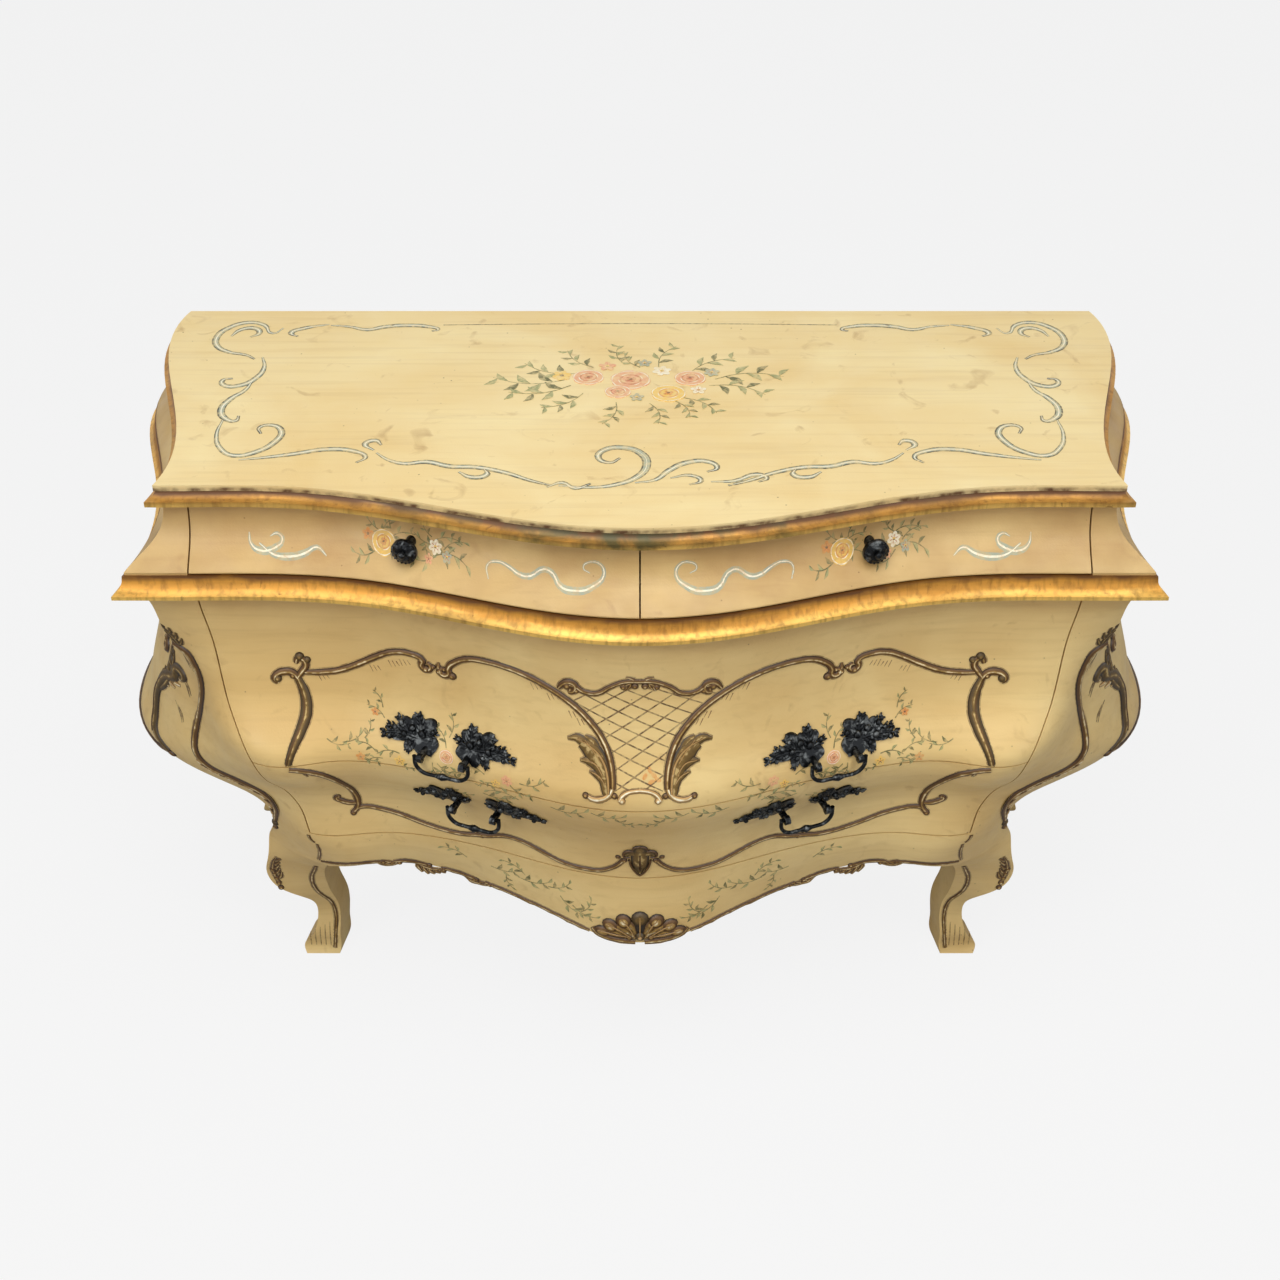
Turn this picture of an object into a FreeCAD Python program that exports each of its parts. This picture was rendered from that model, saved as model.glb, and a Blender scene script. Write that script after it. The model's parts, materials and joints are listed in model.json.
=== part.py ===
"""Bombe chest: two coved frieze drawers over two swelling serpentine drawers, on cabriole legs.

Millimetres. X runs to the chest's own right as seen from the front, Y to the back, Z up.
The origin lies on the floor under the middle of the chest.
Depths are measured forward from the flat back, half widths from the middle plane.
Heights on the body are measured from the floor with the legs as drawn; when the overall height
changes, the legs take up the difference and everything above them moves together.
"""
import FreeCAD, Part
import math
import os

Vector = FreeCAD.Vector
DOC = FreeCAD.newDocument("bombe_chest")
SHEET = DOC.addObject("Spreadsheet::Sheet", "sizes")

# ---------------------------------------------------------------------------------------
# Driving dimensions
# ---------------------------------------------------------------------------------------
DIMENSIONS = {
    # whole chest
    "overall_height": 865.0,
    "back_plane": 302.15,  # Y of the flat back
    "running_gap": 2.0,  # round a drawer front
    "slide_gap": 0.5,  # under and beside a drawer box
    # top board and its gilt edge
    "top_thickness": 24.0,
    "top_lip": 8.0,  # the board's own edge above the moulding
    "top_let_in": 14.0,  # how far the moulding goes under the lip
    "top_flare": 10.5,  # how far the moulding stands out
    "top_fillet": 7.0,  # flat band at the moulding's foot
    "top_centre": 519.0,
    "top_corner": 430.0,
    "top_corner_half": 575.0,
    "top_pinch": 310.0,
    "top_pinch_half": 568.5,
    "top_bulge": 85.0,
    "top_bulge_half": 617.5,
    "top_back_half": 605.5,
    "top_swell": 1.0,
    # frieze: offsets of its hollow face from the top's outline
    "frieze_joint_half": 540.0,
    "frieze_head": -8.0,
    "frieze_neck": -6.5,
    "frieze_neck_drop": 14.0,
    "frieze_cove": 0.0,
    "frieze_cove_drop": 38.0,
    "frieze_sweep": 18.0,
    "frieze_sweep_drop": 57.0,
    "frieze_foot": 40.5,
    "frieze_foot_rise": 3.5,  # upright foot above the waist moulding
    "frieze_height": 77.0,
    "side_share": 0.78,  # share of an offset that the sides take
    "frieze_swell": 1.2,
    "frieze_front_wall": 20.0,
    "frieze_side_wall": 22.0,
    "frieze_post_return": 350.0,  # depth at which the corner post meets the side
    "frieze_rear_block": 30.0,
    # waist moulding between frieze and body
    "waist_thickness": 26.0,
    "waist_step": 43.0,
    "waist_tip": 56.3,
    "waist_band": 5.0,  # flat band at the tip
    "waist_inner": 34.0,  # how far the frame reaches in from the top's outline
    # body walls
    "front_wall": 24.0,
    "side_wall": 22.0,
    "apron_wall": 26.0,
    "side_apron_wall": 44.0,
    "stile_return": 402.0,  # depth at which the front stile meets the side panel
    "cheek": 345.0,
    "bulge": 190.0,
    "body_swell": 1.35,
    "rear_post_depth": 45.0,
    "rear_post_inset": 45.5,  # from the top's rear corner in to the post's inner face
    "back_thickness": 10.0,
    "back_bottom": 335.0,
    # drawer lines
    "upper_bottom": 506.0,
    "lower_bottom": 352.0,
    "side_panel_bottom": 400.0,
    # boards inside
    "board_thickness": 14.0,
    "middle_board_top": 515.0,
    "bottom_board_top": 361.0,
    "board_setback": 4.0,
    "board_ease": 1.0,  # beside a board that is let in between the side panels
    "board_corner": 500.0,  # boards end here beside the stiles
    "divider_half": 8.0,
    "rail_height": 9.0,
    "rail_width": 45.0,
    "guide_height": 24.0,
    "guide_width": 20.0,
    # drawer boxes
    "drawer_side": 11.0,
    "drawer_back": 11.0,
    "drawer_bottom": 6.0,
    "drawer_back_room": 12.0,  # behind the drawer box
    "frieze_box_inner": 20.0,
    "frieze_guide_room": 7.76,  # between the outer guide and the frieze's side
    "frieze_box_height": 58.0,
    "upper_box_half": 462.0,
    "upper_box_height": 176.0,
    "lower_box_half": 418.0,
    "lower_box_height": 112.0,
    # knobs of the frieze drawers
    "knob_half": 272.0,
    "knob_height": 39.0,  # above the waist moulding
    "knob_radius": 16.0,
    "knob_rim": 5.0,
    "knob_stand": 19.0,  # from the drawer's face to the knob's widest ring
    "knob_neck": 6.5,
    "knob_let_in": 7.0,  # depth of the tenon's seat
    "knob_crown": 9.0,
    "knob_boss": 4.0,
    "knob_boss_reach": 13.0,
    "stud_radius": 2.5,
    "stud_room": 0.2,
    "stud_past": 8.0,  # how far a stud comes out inside a drawer
    # swinging handles
    "handle_half_span": 28.0,
    "handle_stand": 20.0,  # from the drawer's face to the hinge line
    "post_radius": 4.5,
    "eye_radius": 6.0,
    "eye_length": 7.0,
    "pin_radius": 2.0,
    "pin_room": 0.35,
    "pin_length": 12.0,
    "bail_start": 7.5,  # from the post's middle out to the bail's arm
    "bail_wire": 2.6,
    "bail_bend": 17.0,
    "bail_drop": 23.5,
    "bail_knot": 5.0,
    "bail_knot_half": 8.0,
    "plate_relief": 3.5,
    "plate_half": 35.5,  # half length of a handle plate's leaf
    "plate_rise": 21.5,
    "plate_shift": 14.5,  # from the post out to the leaf's middle
    "plate_lift": 15.5,
    "plate_lobe": 0.15,
    "nut_radius": 6.0,
    "nut_height": 4.0,
    "nut_room": 1.0,  # round a nut in its seat
    "nut_seat": 1.5,  # depth of the flat seat bored for a nut
    "upper_handle_half": 239.0,
    "upper_handle_height": 535.0,
    "lower_handle_half": 204.0,
    "lower_handle_height": 441.0,
    # carved shell
    "shell_half": 60.0,
    "shell_foot": 246.0,
    "shell_rise": 48.0,
    "shell_face": 592.0,  # depth of the shell's foremost face
    # leg below the stile
    "leg_cant": 9.0,  # how far the leg's rear stands inwards
}

# The body's swelling form, level by level. Each level has its height, its depth at the middle,
# the joint line between drawer and stile, the corner arris, the half width at the cheek, and how
# far the bulge and the rear corner stand out past the top's.
LEVEL_KEYS = ("height", "centre", "joint_half", "joint", "corner_half", "corner",
              "cheek_half", "bulge_half", "back_half")
LEVELS = {
    "waist": (738.0, 555.0, 541.0, 457.0, 601.0, 455.0, 596.0, 2.5, 10.5),
    "throat": (660.0, 556.0, 527.0, 458.0, 588.0, 441.0, 595.0, 9.5, 16.5),
    "collar": (580.0, 575.0, 517.0, 472.0, 565.0, 427.0, 616.0, 22.5, 26.5),
    "belly": (505.0, 605.0, 488.0, 512.0, 569.0, 425.0, 638.0, 39.5, 39.5),
    "under": (455.0, 587.0, 474.0, 494.0, 578.0, 428.0, 650.0, 53.5, 46.5),
    "tuck": (420.0, 571.0, 457.0, 474.0, 550.0, 434.0, 663.0, 63.5, 49.5),
    "scoop": (385.0, 563.0, 442.0, 471.0, 517.0, 430.0, 638.0, 57.5, 46.5),
    "apron": (350.0, 561.0, 435.0, 477.0, 492.0, 428.0, 558.0, 28.5, 34.5),
    "hem": (300.0, 566.0, 421.0, 468.0, 498.0, 415.0, 515.0, 4.5, 18.5),
    "skirt": (240.0, 575.0, 415.0, 448.0, 509.0, 400.0, 515.0, -5.5, 6.5),
}
# Serpentine: shares of the joint's half width at which the front's curve is fixed.
SERPENTINE_STATIONS = (0.2, 0.4, 0.6, 0.8)
SERPENTINE_REACH = 0.85
FRONT_RUNS = (0.0, *SERPENTINE_STATIONS, 1.0, 1.12)  # stations of the front's half curve
BODY_FLANK = (0.0, 0.24, 0.58, 1.0)  # stations down the body's side
TOP_FLANK = (0.0, 0.28, 0.79, 1.0)  # stations down the top's side

# Lower edge of the front apron from the middle out: half width and height.
APRON_EDGE = {
    "apron_drop": (0.0, 246.0),
    "apron_lobe": (52.0, 250.0),
    "apron_slope": (110.0, 262.0),
    "apron_waist": (200.0, 272.0),
    "apron_arch": (320.0, 288.0),
    "apron_knee": (425.0, 276.0),
}
# Lower edge of each side apron: depth and height.
SIDE_EDGE = {
    "side_front": (402.0, 306.0),
    "side_arch_front": (330.0, 352.0),
    "side_mid": (215.0, 326.0),
    "side_arch_back": (110.0, 352.0),
    "side_back": (45.0, 312.0),
}
LEG_KEYS = ("height", "arris_half", "arris", "inner_half", "inner", "rear")
REAR_LEG_KEYS = ("height", "outer", "inner_face", "front")
# Front leg: height, outer arris (half width, depth), inner front corner (half width, depth), rear.
LEG = {
    "leg_top": (330.0, 495.0, 420.0, 430.0, 470.0, 365.0),
    "leg_hem": (290.0, 503.0, 412.0, 420.0, 464.0, 360.0),
    "leg_swell": (225.0, 516.0, 401.0, 434.0, 412.0, 350.0),
    "leg_knee": (188.0, 522.0, 388.0, 441.0, 390.0, 342.0),
    "leg_under": (150.0, 500.0, 384.0, 441.0, 374.0, 332.0),
    "leg_neck": (122.0, 472.0, 368.0, 438.0, 362.0, 322.0),
    "leg_ankle": (85.0, 465.0, 353.0, 434.0, 351.0, 314.0),
    "leg_instep": (45.0, 474.0, 353.0, 436.0, 352.0, 312.0),
    "leg_toe": (16.0, 488.0, 361.0, 440.0, 360.0, 312.0),
    "leg_sole": (0.0, 489.0, 358.0, 441.0, 358.0, 313.0),
}
# Rear leg: height, how far its outer and inner faces stand past the top's rear corner, depth of
# its front.
REAR_LEG = {
    "rear_top": (330.0, 18.5, -43.5, 60.0),
    "rear_swell": (240.0, 10.5, -49.5, 62.0),
    "rear_knee": (190.0, 6.5, -53.5, 64.0),
    "rear_neck": (125.0, -27.5, -67.5, 44.0),
    "rear_ankle": (75.0, -35.5, -71.5, 38.0),
    "rear_toe": (16.0, -19.5, -67.5, 50.0),
    "rear_sole": (0.0, -19.5, -67.5, 48.0),
}


# Heights on the body that move with it when the legs are made longer or shorter.
LIFTED = ("back_bottom", "upper_bottom", "lower_bottom", "side_panel_bottom", "middle_board_top",
          "bottom_board_top", "upper_handle_height", "lower_handle_height", "shell_foot")


def worked_out():
    """Cells that follow from others, as formulas of the sheet."""
    widths = (("corner", "frieze_head"), ("pinch", "frieze_head * side_share"),
              ("bulge", "frieze_head * side_share"), ("back", "frieze_head * side_share"))
    narrowest = "; ".join(f"top_{place}_half + {inset}" for place, inset in widths)
    return {
        "waist_top": "=overall_height - top_thickness - frieze_height",
        "lift": f"=waist_top - waist_thickness - {LEVELS['waist'][0]}",
        "frieze_foot_drop": "=frieze_height - frieze_foot_rise",
        "frieze_box_outer": f"=min({narrowest}) - frieze_side_wall - guide_width - slide_gap"
                            " - frieze_guide_room",
        "rear_post_half": "=top_back_half - rear_post_inset",
    }


def fill_sheet():
    """Write every driving dimension into the sheet as a named cell, and what follows from them."""
    rows = [(name, f"={value} + lift" if name in LIFTED else value)
            for name, value in DIMENSIONS.items()]
    rows += worked_out().items()
    follows = {"height": "=lift", "bulge_half": "=top_bulge_half", "back_half": "=top_back_half"}
    for level, values in LEVELS.items():
        rows += [(f"{level}_{key}", f"{follows[key]} + ({value})" if key in follows else value)
                 for key, value in zip(LEVEL_KEYS, values)]
    for name, (along, height) in list(APRON_EDGE.items()) + list(SIDE_EDGE.items()):
        rows += [(f"{name}_at", along), (f"{name}_height", f"={height} + lift")]
    for legs, keys in ((LEG, LEG_KEYS), (REAR_LEG, REAR_LEG_KEYS)):
        drawn_top = next(iter(legs.values()))[0]
        for name, values in legs.items():
            rows.append((f"{name}_height", f"={values[0]} * (1 + lift / {drawn_top})"))
            rows += [(f"{name}_{key}", f"=top_back_half + ({value})" if key in ("outer", "inner_face")
                      else value) for key, value in zip(keys[1:], values[1:])]
    for number, (alias, value) in enumerate(rows, start=1):
        SHEET.set(f"A{number}", alias)
        SHEET.setAlias(f"B{number}", alias)
    for number, (alias, value) in enumerate(rows, start=1):
        SHEET.set(f"B{number}", str(value))
    DOC.recompute()


def size(alias):
    """Value of a named cell, in millimetres."""
    return float(SHEET.get(alias))


fill_sheet()


# ---------------------------------------------------------------------------------------
# Document helpers
# ---------------------------------------------------------------------------------------
NODES = []


def keep(obj, node=None):
    """Mark an object as a piece of the chest, under its node name."""
    obj.Label = node or obj.Name
    NODES.append(obj)
    return obj


def feature(name, shape):
    """Hold a shape worked out from the sheet."""
    obj = DOC.addObject("Part::Feature", name)
    obj.Shape = shape
    return obj


def combine(kind, name, base, tool):
    """Boolean of two objects: Cut, Common or Fuse."""
    obj = DOC.addObject(f"Part::{kind}", name)
    obj.Base = base
    obj.Tool = tool
    return obj


def joined(name, shapes):
    """Several overlapping objects made one."""
    obj = DOC.addObject("Part::MultiFuse", name)
    obj.Shapes = shapes
    return obj


def grouped(name, shapes):
    """Several separate solids kept as one piece."""
    obj = DOC.addObject("Part::Compound", name)
    obj.Links = shapes
    return obj


def mirrored(name, source):
    """The same piece on the other side of the middle plane."""
    obj = DOC.addObject("Part::Mirroring", name)
    obj.Source = source
    obj.Normal = Vector(1, 0, 0)
    obj.Base = Vector(0, 0, 0)
    return obj


def bar(name, low, high):
    """Box between two corners, each given as three expressions on the sheet."""
    obj = DOC.addObject("Part::Box", name)
    for prop, axis, start, end in zip(("Length", "Width", "Height"), "xyz", low, high):
        obj.setExpression(prop, f"({end}) - ({start})")
        obj.setExpression(f"Placement.Base.{axis}", start)
    return obj


def cell(text):
    """Turn words that are aliases into references to the sheet."""
    words = text.replace("(", " ( ").replace(")", " ) ").split()
    plain = ("+", "-", "*", "/", "(", ")")
    return " ".join(w if w in plain or w[0].isdigit() else f"sizes.{w}" for w in words)


def cells(*texts):
    """Several expressions at once."""
    return tuple(cell(text) for text in texts)


# ---------------------------------------------------------------------------------------
# Plan outlines
# ---------------------------------------------------------------------------------------
def spline(points, stations=None):
    """Edge through points, at like stations where sections are lofted."""
    curve = Part.BSplineCurve()
    if stations:
        curve.interpolate(Points=points, Parameters=stations)
    else:
        curve.interpolate(points)
    return curve.toShape()


def serpentine(plan, z, wall=0.0, side_wall=0.0):
    """Points of the front from the left corner to the right one."""
    half = [Vector(0, size("back_plane") - plan["centre"] + wall, z)]
    swing = plan["centre"] - plan["joint"]
    joint_half = plan["joint_half"] - side_wall
    for share in SERPENTINE_STATIONS:
        wave = max(0.0, (1 + math.cos(math.pi * share / SERPENTINE_REACH)) / 2)
        depth = plan["joint"] + swing * wave ** plan["swell"]
        half.append(Vector(share * joint_half, size("back_plane") - depth + wall, z))
    half.append(Vector(joint_half, size("back_plane") - plan["joint"] + wall, z))
    corner_y = size("back_plane") - plan["corner"] + wall
    half.append(Vector(plan["corner_half"] - side_wall, corner_y, z))
    left = [Vector(-p.x, p.y, p.z) for p in reversed(half[1:])]
    return left + half


def flank(plan, z, wall=0.0, side_wall=0.0):
    """Points of the right side from the front corner to the back."""
    back = size("back_plane")
    return [
        Vector(plan["corner_half"] - side_wall, back - plan["corner"] + wall, z),
        Vector(plan["cheek_half"] - side_wall, back - plan["cheek"], z),
        Vector(plan["bulge_half"] - side_wall, back - plan["bulge"], z),
        Vector(plan["back_half"] - side_wall, back, z),
    ]


def outline(plan, z, wall=0.0, behind=0.0, side_wall=None):
    """Closed plan wire at a height; walls move it inwards and behind carries it past the back."""
    side_wall = wall if side_wall is None else side_wall
    front = serpentine(plan, z, wall, side_wall)
    right = flank(plan, z, wall, side_wall)
    left = [Vector(-p.x, p.y, p.z) for p in reversed(right)]
    past = Vector(0, behind, 0)
    front_stations = [-run for run in reversed(FRONT_RUNS[1:])] + list(FRONT_RUNS)
    flank_stations = list(plan["flank"])
    edges = [spline(front, front_stations), spline(right, flank_stations)]
    if behind:
        edges.append(Part.makeLine(right[-1], right[-1] + past))
    edges.append(Part.makeLine(right[-1] + past, left[0] + past))
    if behind:
        edges.append(Part.makeLine(left[0] + past, left[0]))
    edges.append(spline(left, [1.0 - run for run in reversed(flank_stations)]))
    return Part.Wire(edges)


def fair(heights, values, z):
    """Value at a height on a smooth curve through the levels, with no overshoot between them."""
    steps = [b - a for a, b in zip(heights, heights[1:])]
    rises = [(b - a) / step for a, b, step in zip(values, values[1:], steps)]
    slopes = [rises[0]]
    for before, after in zip(rises, rises[1:]):
        slopes.append(0.0 if before * after <= 0 else 2 * before * after / (before + after))
    slopes.append(rises[-1])
    place = sum(z > level for level in heights[1:-1])
    run = (z - heights[place]) / steps[place]
    start, end = values[place], values[place + 1]
    lean_start, lean_end = slopes[place] * steps[place], slopes[place + 1] * steps[place]
    turn = 2 * (start - end) + lean_start + lean_end
    return start + run * (lean_start + run * (end - start - lean_start + turn * (run - 1)))


def body_plan(z):
    """Plan of the body at any height, faired through its levels."""
    levels = list(reversed(LEVELS))
    heights = [size(f"{level}_height") for level in levels]
    plan = {key: fair(heights, [size(f"{level}_{key}") for level in levels], z)
            for key in LEVEL_KEYS[1:]}
    plan.update(cheek=size("cheek"), bulge=size("bulge"), swell=size("body_swell"),
                flank=BODY_FLANK)
    return plan


def top_plan(offset, swell="frieze_swell"):
    """Plan that follows the top's outline at an offset, as the frieze and the mouldings do."""
    side = offset * size("side_share")
    return {
        "centre": size("top_centre") + offset,
        "joint_half": size("frieze_joint_half") + min(0.0, offset),
        "joint": size("top_corner") + offset,
        "corner_half": size("top_corner_half") + offset,
        "corner": size("top_corner") + offset,
        "cheek": size("top_pinch"),
        "cheek_half": size("top_pinch_half") + side,
        "bulge": size("top_bulge"),
        "bulge_half": size("top_bulge_half") + side,
        "back_half": size("top_back_half") + side,
        "swell": size(swell),
        "flank": TOP_FLANK,
    }


def solid_loft(wires, ruled=False):
    """Solid through closed wires."""
    return Part.makeLoft(wires, True, ruled)


BEHIND = 5.0  # how far hollows run past the back
BODY_SECTIONS = 16  # evenly spaced sections between the body's foot and the waist


def body_form(name):
    """The body's swelling volume."""
    low, high = size("skirt_height"), size("waist_height")
    heights = [low + (high - low) * step / BODY_SECTIONS for step in range(BODY_SECTIONS + 1)]
    return feature(name, solid_loft([outline(body_plan(z), z) for z in heights]))


def room_form(name, level, wall, side_wall):
    """Upright hollow inside the body, which follows the body's plan at one height."""
    return slab(name, body_plan(size(level)), 0.0, size("overall_height"), size(wall), BEHIND,
                size(side_wall))


def frieze_form(name, wall=0.0, behind=0.0):
    """The frieze's volume: hollow cove outside, or upright and moved inwards by a wall."""
    top = size("overall_height") - size("top_thickness")
    steps = [(0.0, "frieze_head")]
    for step in ("neck", "cove", "sweep", "foot"):
        steps.append((size(f"frieze_{step}_drop"), f"frieze_{step}"))
    steps.append((top - size("waist_top"), "frieze_foot"))
    if wall:
        wires = [outline(top_plan(size("frieze_head")), top - drop, wall, behind)
                 for drop in (0.0, top - size("waist_top"))]
        return feature(name, solid_loft(wires, True))
    curved = [outline(top_plan(size(key)), top - drop) for drop, key in steps[:-1]]
    straight = [outline(top_plan(size(key)), top - drop) for drop, key in steps[-2:]]
    return feature(name, solid_loft(curved).fuse(solid_loft(straight, True)).removeSplitter())


def slab(name, plan, low, high, wall=0.0, behind=0.0, side_wall=None):
    """Upright board of a plan outline between two heights."""
    face = Part.Face(outline(plan, low, wall, behind, side_wall))
    return feature(name, face.extrude(Vector(0, 0, high - low)))


# ---------------------------------------------------------------------------------------
# Master forms
# ---------------------------------------------------------------------------------------
BODY = body_form("body_form")
UPPER_ROOM = room_form("upper_room", "waist_height", "front_wall", "side_wall")
LOWER_ROOM = room_form("lower_room", "apron_height", "front_wall", "side_apron_wall")
APRON_ROOM = room_form("apron_room", "apron_height", "apron_wall", "side_apron_wall")
FRIEZE = frieze_form("frieze_form")
FRIEZE_FRONT_ROOM = frieze_form("frieze_front_room", size("frieze_front_wall"), BEHIND)
FRIEZE_SIDE_ROOM = frieze_form("frieze_side_room", size("frieze_side_wall"), BEHIND)

FAR = 900.0  # beyond the chest on every side
BACK = size("back_plane")


# ---------------------------------------------------------------------------------------
# Regions that cut the forms into pieces
# ---------------------------------------------------------------------------------------
def joint_half(z):
    """Half width of the joint line between drawer and stile at a height."""
    return body_plan(z)["joint_half"]


JOINT_STEP = 14.0  # closest spacing of the points that fix a joint line


def joint_points(low, high, shift):
    """Points of the right joint line in the front view, from low to high."""
    count = max(7, math.ceil((high - low) / JOINT_STEP) + 1)
    heights = [low + (high - low) * step / (count - 1) for step in range(count)]
    return [Vector(joint_half(z) + shift, -FAR, z) for z in heights]


def flipped(points):
    """The same points on the left, in reverse order."""
    return [Vector(-p.x, p.y, p.z) for p in reversed(points)]


def front_region(name, edges, depth):
    """Front view outline carried back from before the chest to a depth."""
    face = Part.Face(Part.Wire(edges))
    return feature(name, face.extrude(Vector(0, FAR + BACK - depth, 0)))


def drawer_region(name, low, high):
    """Region of a drawer front between the stiles' joint lines."""
    right = joint_points(low, high, -size("running_gap"))
    left = flipped(right)
    edges = [spline(right), Part.makeLine(right[-1], left[0]),
             spline(left), Part.makeLine(left[-1], right[0])]
    return front_region(name, edges, size("stile_return"))


def stile_region(name, low, high):
    """Region of the right stile, outside the joint line."""
    right = joint_points(low, high, 0.0)
    top, foot = Vector(FAR, -FAR, high), Vector(FAR, -FAR, low)
    edges = [spline(right), Part.makeLine(right[-1], top),
             Part.makeLine(top, foot), Part.makeLine(foot, right[0])]
    return front_region(name, edges, size("stile_return"))


def apron_region(name):
    """Region of the front apron above its shaped lower edge, which runs on past the stiles."""
    edge = [Vector(size(f"{key}_at"), -FAR, size(f"{key}_height")) for key in APRON_EDGE]
    edge[-1].x = joint_half(edge[-1].z)
    top = size("lower_bottom") - size("running_gap")
    right = [edge[-1], Vector(size("leg_knee_arris_half"), -FAR, 0.5 * (edge[-1].z + top)),
             Vector(size("leg_knee_arris_half"), -FAR, top)]
    rim = right + flipped(right)
    edges = [spline(flipped(edge[1:]) + edge)]
    edges += [Part.makeLine(start, end) for start, end in zip(rim, rim[1:])]
    return front_region(name, edges, size("stile_return"))


def side_edge(name):
    """Region of the right side apron above its shaped lower edge."""
    near = [Vector(0, BACK - size(f"{key}_at"), size(f"{key}_height")) for key in SIDE_EDGE]
    top = size("side_panel_bottom")
    corners = [near[-1], Vector(0, near[-1].y, top), Vector(0, near[0].y, top), near[0]]
    edges = [spline(near)] + [Part.makeLine(a, b) for a, b in zip(corners, corners[1:])]
    return feature(name, Part.Face(Part.Wire(edges)).extrude(Vector(FAR, 0, 0)))


# ---------------------------------------------------------------------------------------
# Top board and mouldings
# ---------------------------------------------------------------------------------------
MOULDING_BANDS = 4


def moulding(name, steps, swell, inner, low, high):
    """Moulding on three sides, through steps of (offset, height), over an upright inner face."""
    wires = [outline(top_plan(offset, swell), z) for offset, z in steps]
    outer = feature(f"{name}_outer", solid_loft(wires, True))
    hollow = slab(f"{name}_hollow", top_plan(-inner, swell), low, high, 0.0, BEHIND)
    return keep(combine("Cut", name, outer, hollow))


def cavetto(top, foot, start, end):
    """Steps down a hollow quarter curve that flares out to the foot."""
    steps = []
    for band in range(MOULDING_BANDS + 1):
        turn = 0.5 * math.pi * band / MOULDING_BANDS
        steps.append((start + (end - start) * (1 - math.cos(turn)),
                      top - (top - foot) * math.sin(turn)))
    return steps


def build_top():
    """Top board with its lip, and the gilt moulding under the lip."""
    top, thickness = size("overall_height"), size("top_thickness")
    lip, let_in = top - size("top_lip"), size("top_let_in")
    base = top - thickness
    flare, fillet = size("top_flare"), base + size("top_fillet")
    upper = slab("top_lip_layer", top_plan(0.0, "top_swell"), lip, top)
    lower = slab("top_lower_layer", top_plan(-let_in, "top_swell"), base, lip)
    keep(combine("Fuse", "top_board", upper, lower))
    steps = cavetto(lip, fillet, -0.15 * flare, flare) + [(flare, base)]
    moulding("top_moulding", steps, "top_swell", let_in, base, lip)


def build_waist():
    """Gilt waist moulding, which is also the frame between frieze and body."""
    top = size("waist_top")
    foot = top - size("waist_thickness")
    inner, tip = size("waist_inner"), size("waist_tip")
    steps = cavetto(top, foot + size("waist_band"), size("waist_step"), tip) + [(tip, foot)]
    moulding("waist_moulding", steps, "frieze_swell", inner, foot, top)
    room = slab("waist_board_room", top_plan(-inner), top - size("board_thickness"), top)
    before_back = bar("waist_board_bounds",
                      cells("0 - overall_height", "0 - overall_height", "0"),
                      cells("overall_height", "back_plane - back_thickness", "overall_height"))
    keep(combine("Common", "waist_board", room, before_back))


# ---------------------------------------------------------------------------------------
# Frieze
# ---------------------------------------------------------------------------------------
def build_frieze():
    """Corner posts and coved sides of the frieze, with what stands between the drawers."""
    post_box = bar("frieze_post_bounds",
                   cells("frieze_joint_half", "0 - overall_height", "waist_top"),
                   cells("overall_height", "back_plane - frieze_post_return", "overall_height"))
    post = keep(combine("Common", "frieze_post_right", FRIEZE, post_box))
    keep(mirrored("frieze_post_left", post))
    side_box = bar("frieze_side_bounds",
                   cells("frieze_box_outer", "back_plane - frieze_post_return", "waist_top"),
                   cells("overall_height", "back_plane", "overall_height"))
    block_box = bar("frieze_block_bounds",
                    cells("rear_post_half", "back_plane - frieze_rear_block", "0"),
                    cells("overall_height", "overall_height", "overall_height"))
    blank = combine("Common", "frieze_side_blank", FRIEZE, side_box)
    hollow = combine("Cut", "frieze_side_hollow", FRIEZE_SIDE_ROOM, block_box)
    side = keep(combine("Cut", "frieze_side_right", blank, hollow))
    keep(mirrored("frieze_side_left", side))
    under_top = "overall_height - top_thickness - rail_height"
    rail_front = bar("rail_front",
                     cells("0 - frieze_joint_half", "back_plane - stile_return", under_top),
                     cells("frieze_joint_half", "back_plane - stile_return + rail_width",
                           "overall_height - top_thickness"))
    rail_rear = bar("rail_rear",
                    cells("0 - rear_post_half", "back_plane - back_thickness - rail_width",
                          under_top),
                    cells("rear_post_half", "back_plane - back_thickness",
                          "overall_height - top_thickness"))
    keep(grouped("top_rails", [rail_front, rail_rear]))
    setback = "top_centre + frieze_head - frieze_front_wall - board_setback"
    keep(bar("frieze_divider",
             cells("0 - divider_half", f"back_plane - ( {setback} )", "waist_top"),
             cells("divider_half", "back_plane - back_thickness", under_top)))


# ---------------------------------------------------------------------------------------
# Body carcass
# ---------------------------------------------------------------------------------------
def section_loft(heights, corners):
    """Solid through four-cornered sections at even heights."""
    wires = []
    for z in heights:
        points = corners(z)
        wires.append(Part.makePolygon(points + points[:1]))
    return solid_loft(wires)


def leg_corners(z):
    """Front leg's section at a height: arris, inner front, inner rear and outer rear corners."""
    levels = list(reversed(LEG))
    heights = [size(f"{level}_height") for level in levels]
    arris_half, arris, inner_half, inner, rear = (
        fair(heights, [size(f"{level}_{key}") for level in levels], z) for key in LEG_KEYS[1:])
    cant = size("leg_cant")
    return [Vector(arris_half, BACK - arris, z), Vector(inner_half, BACK - inner, z),
            Vector(inner_half - cant, BACK - rear, z), Vector(arris_half - cant, BACK - rear, z)]


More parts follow.
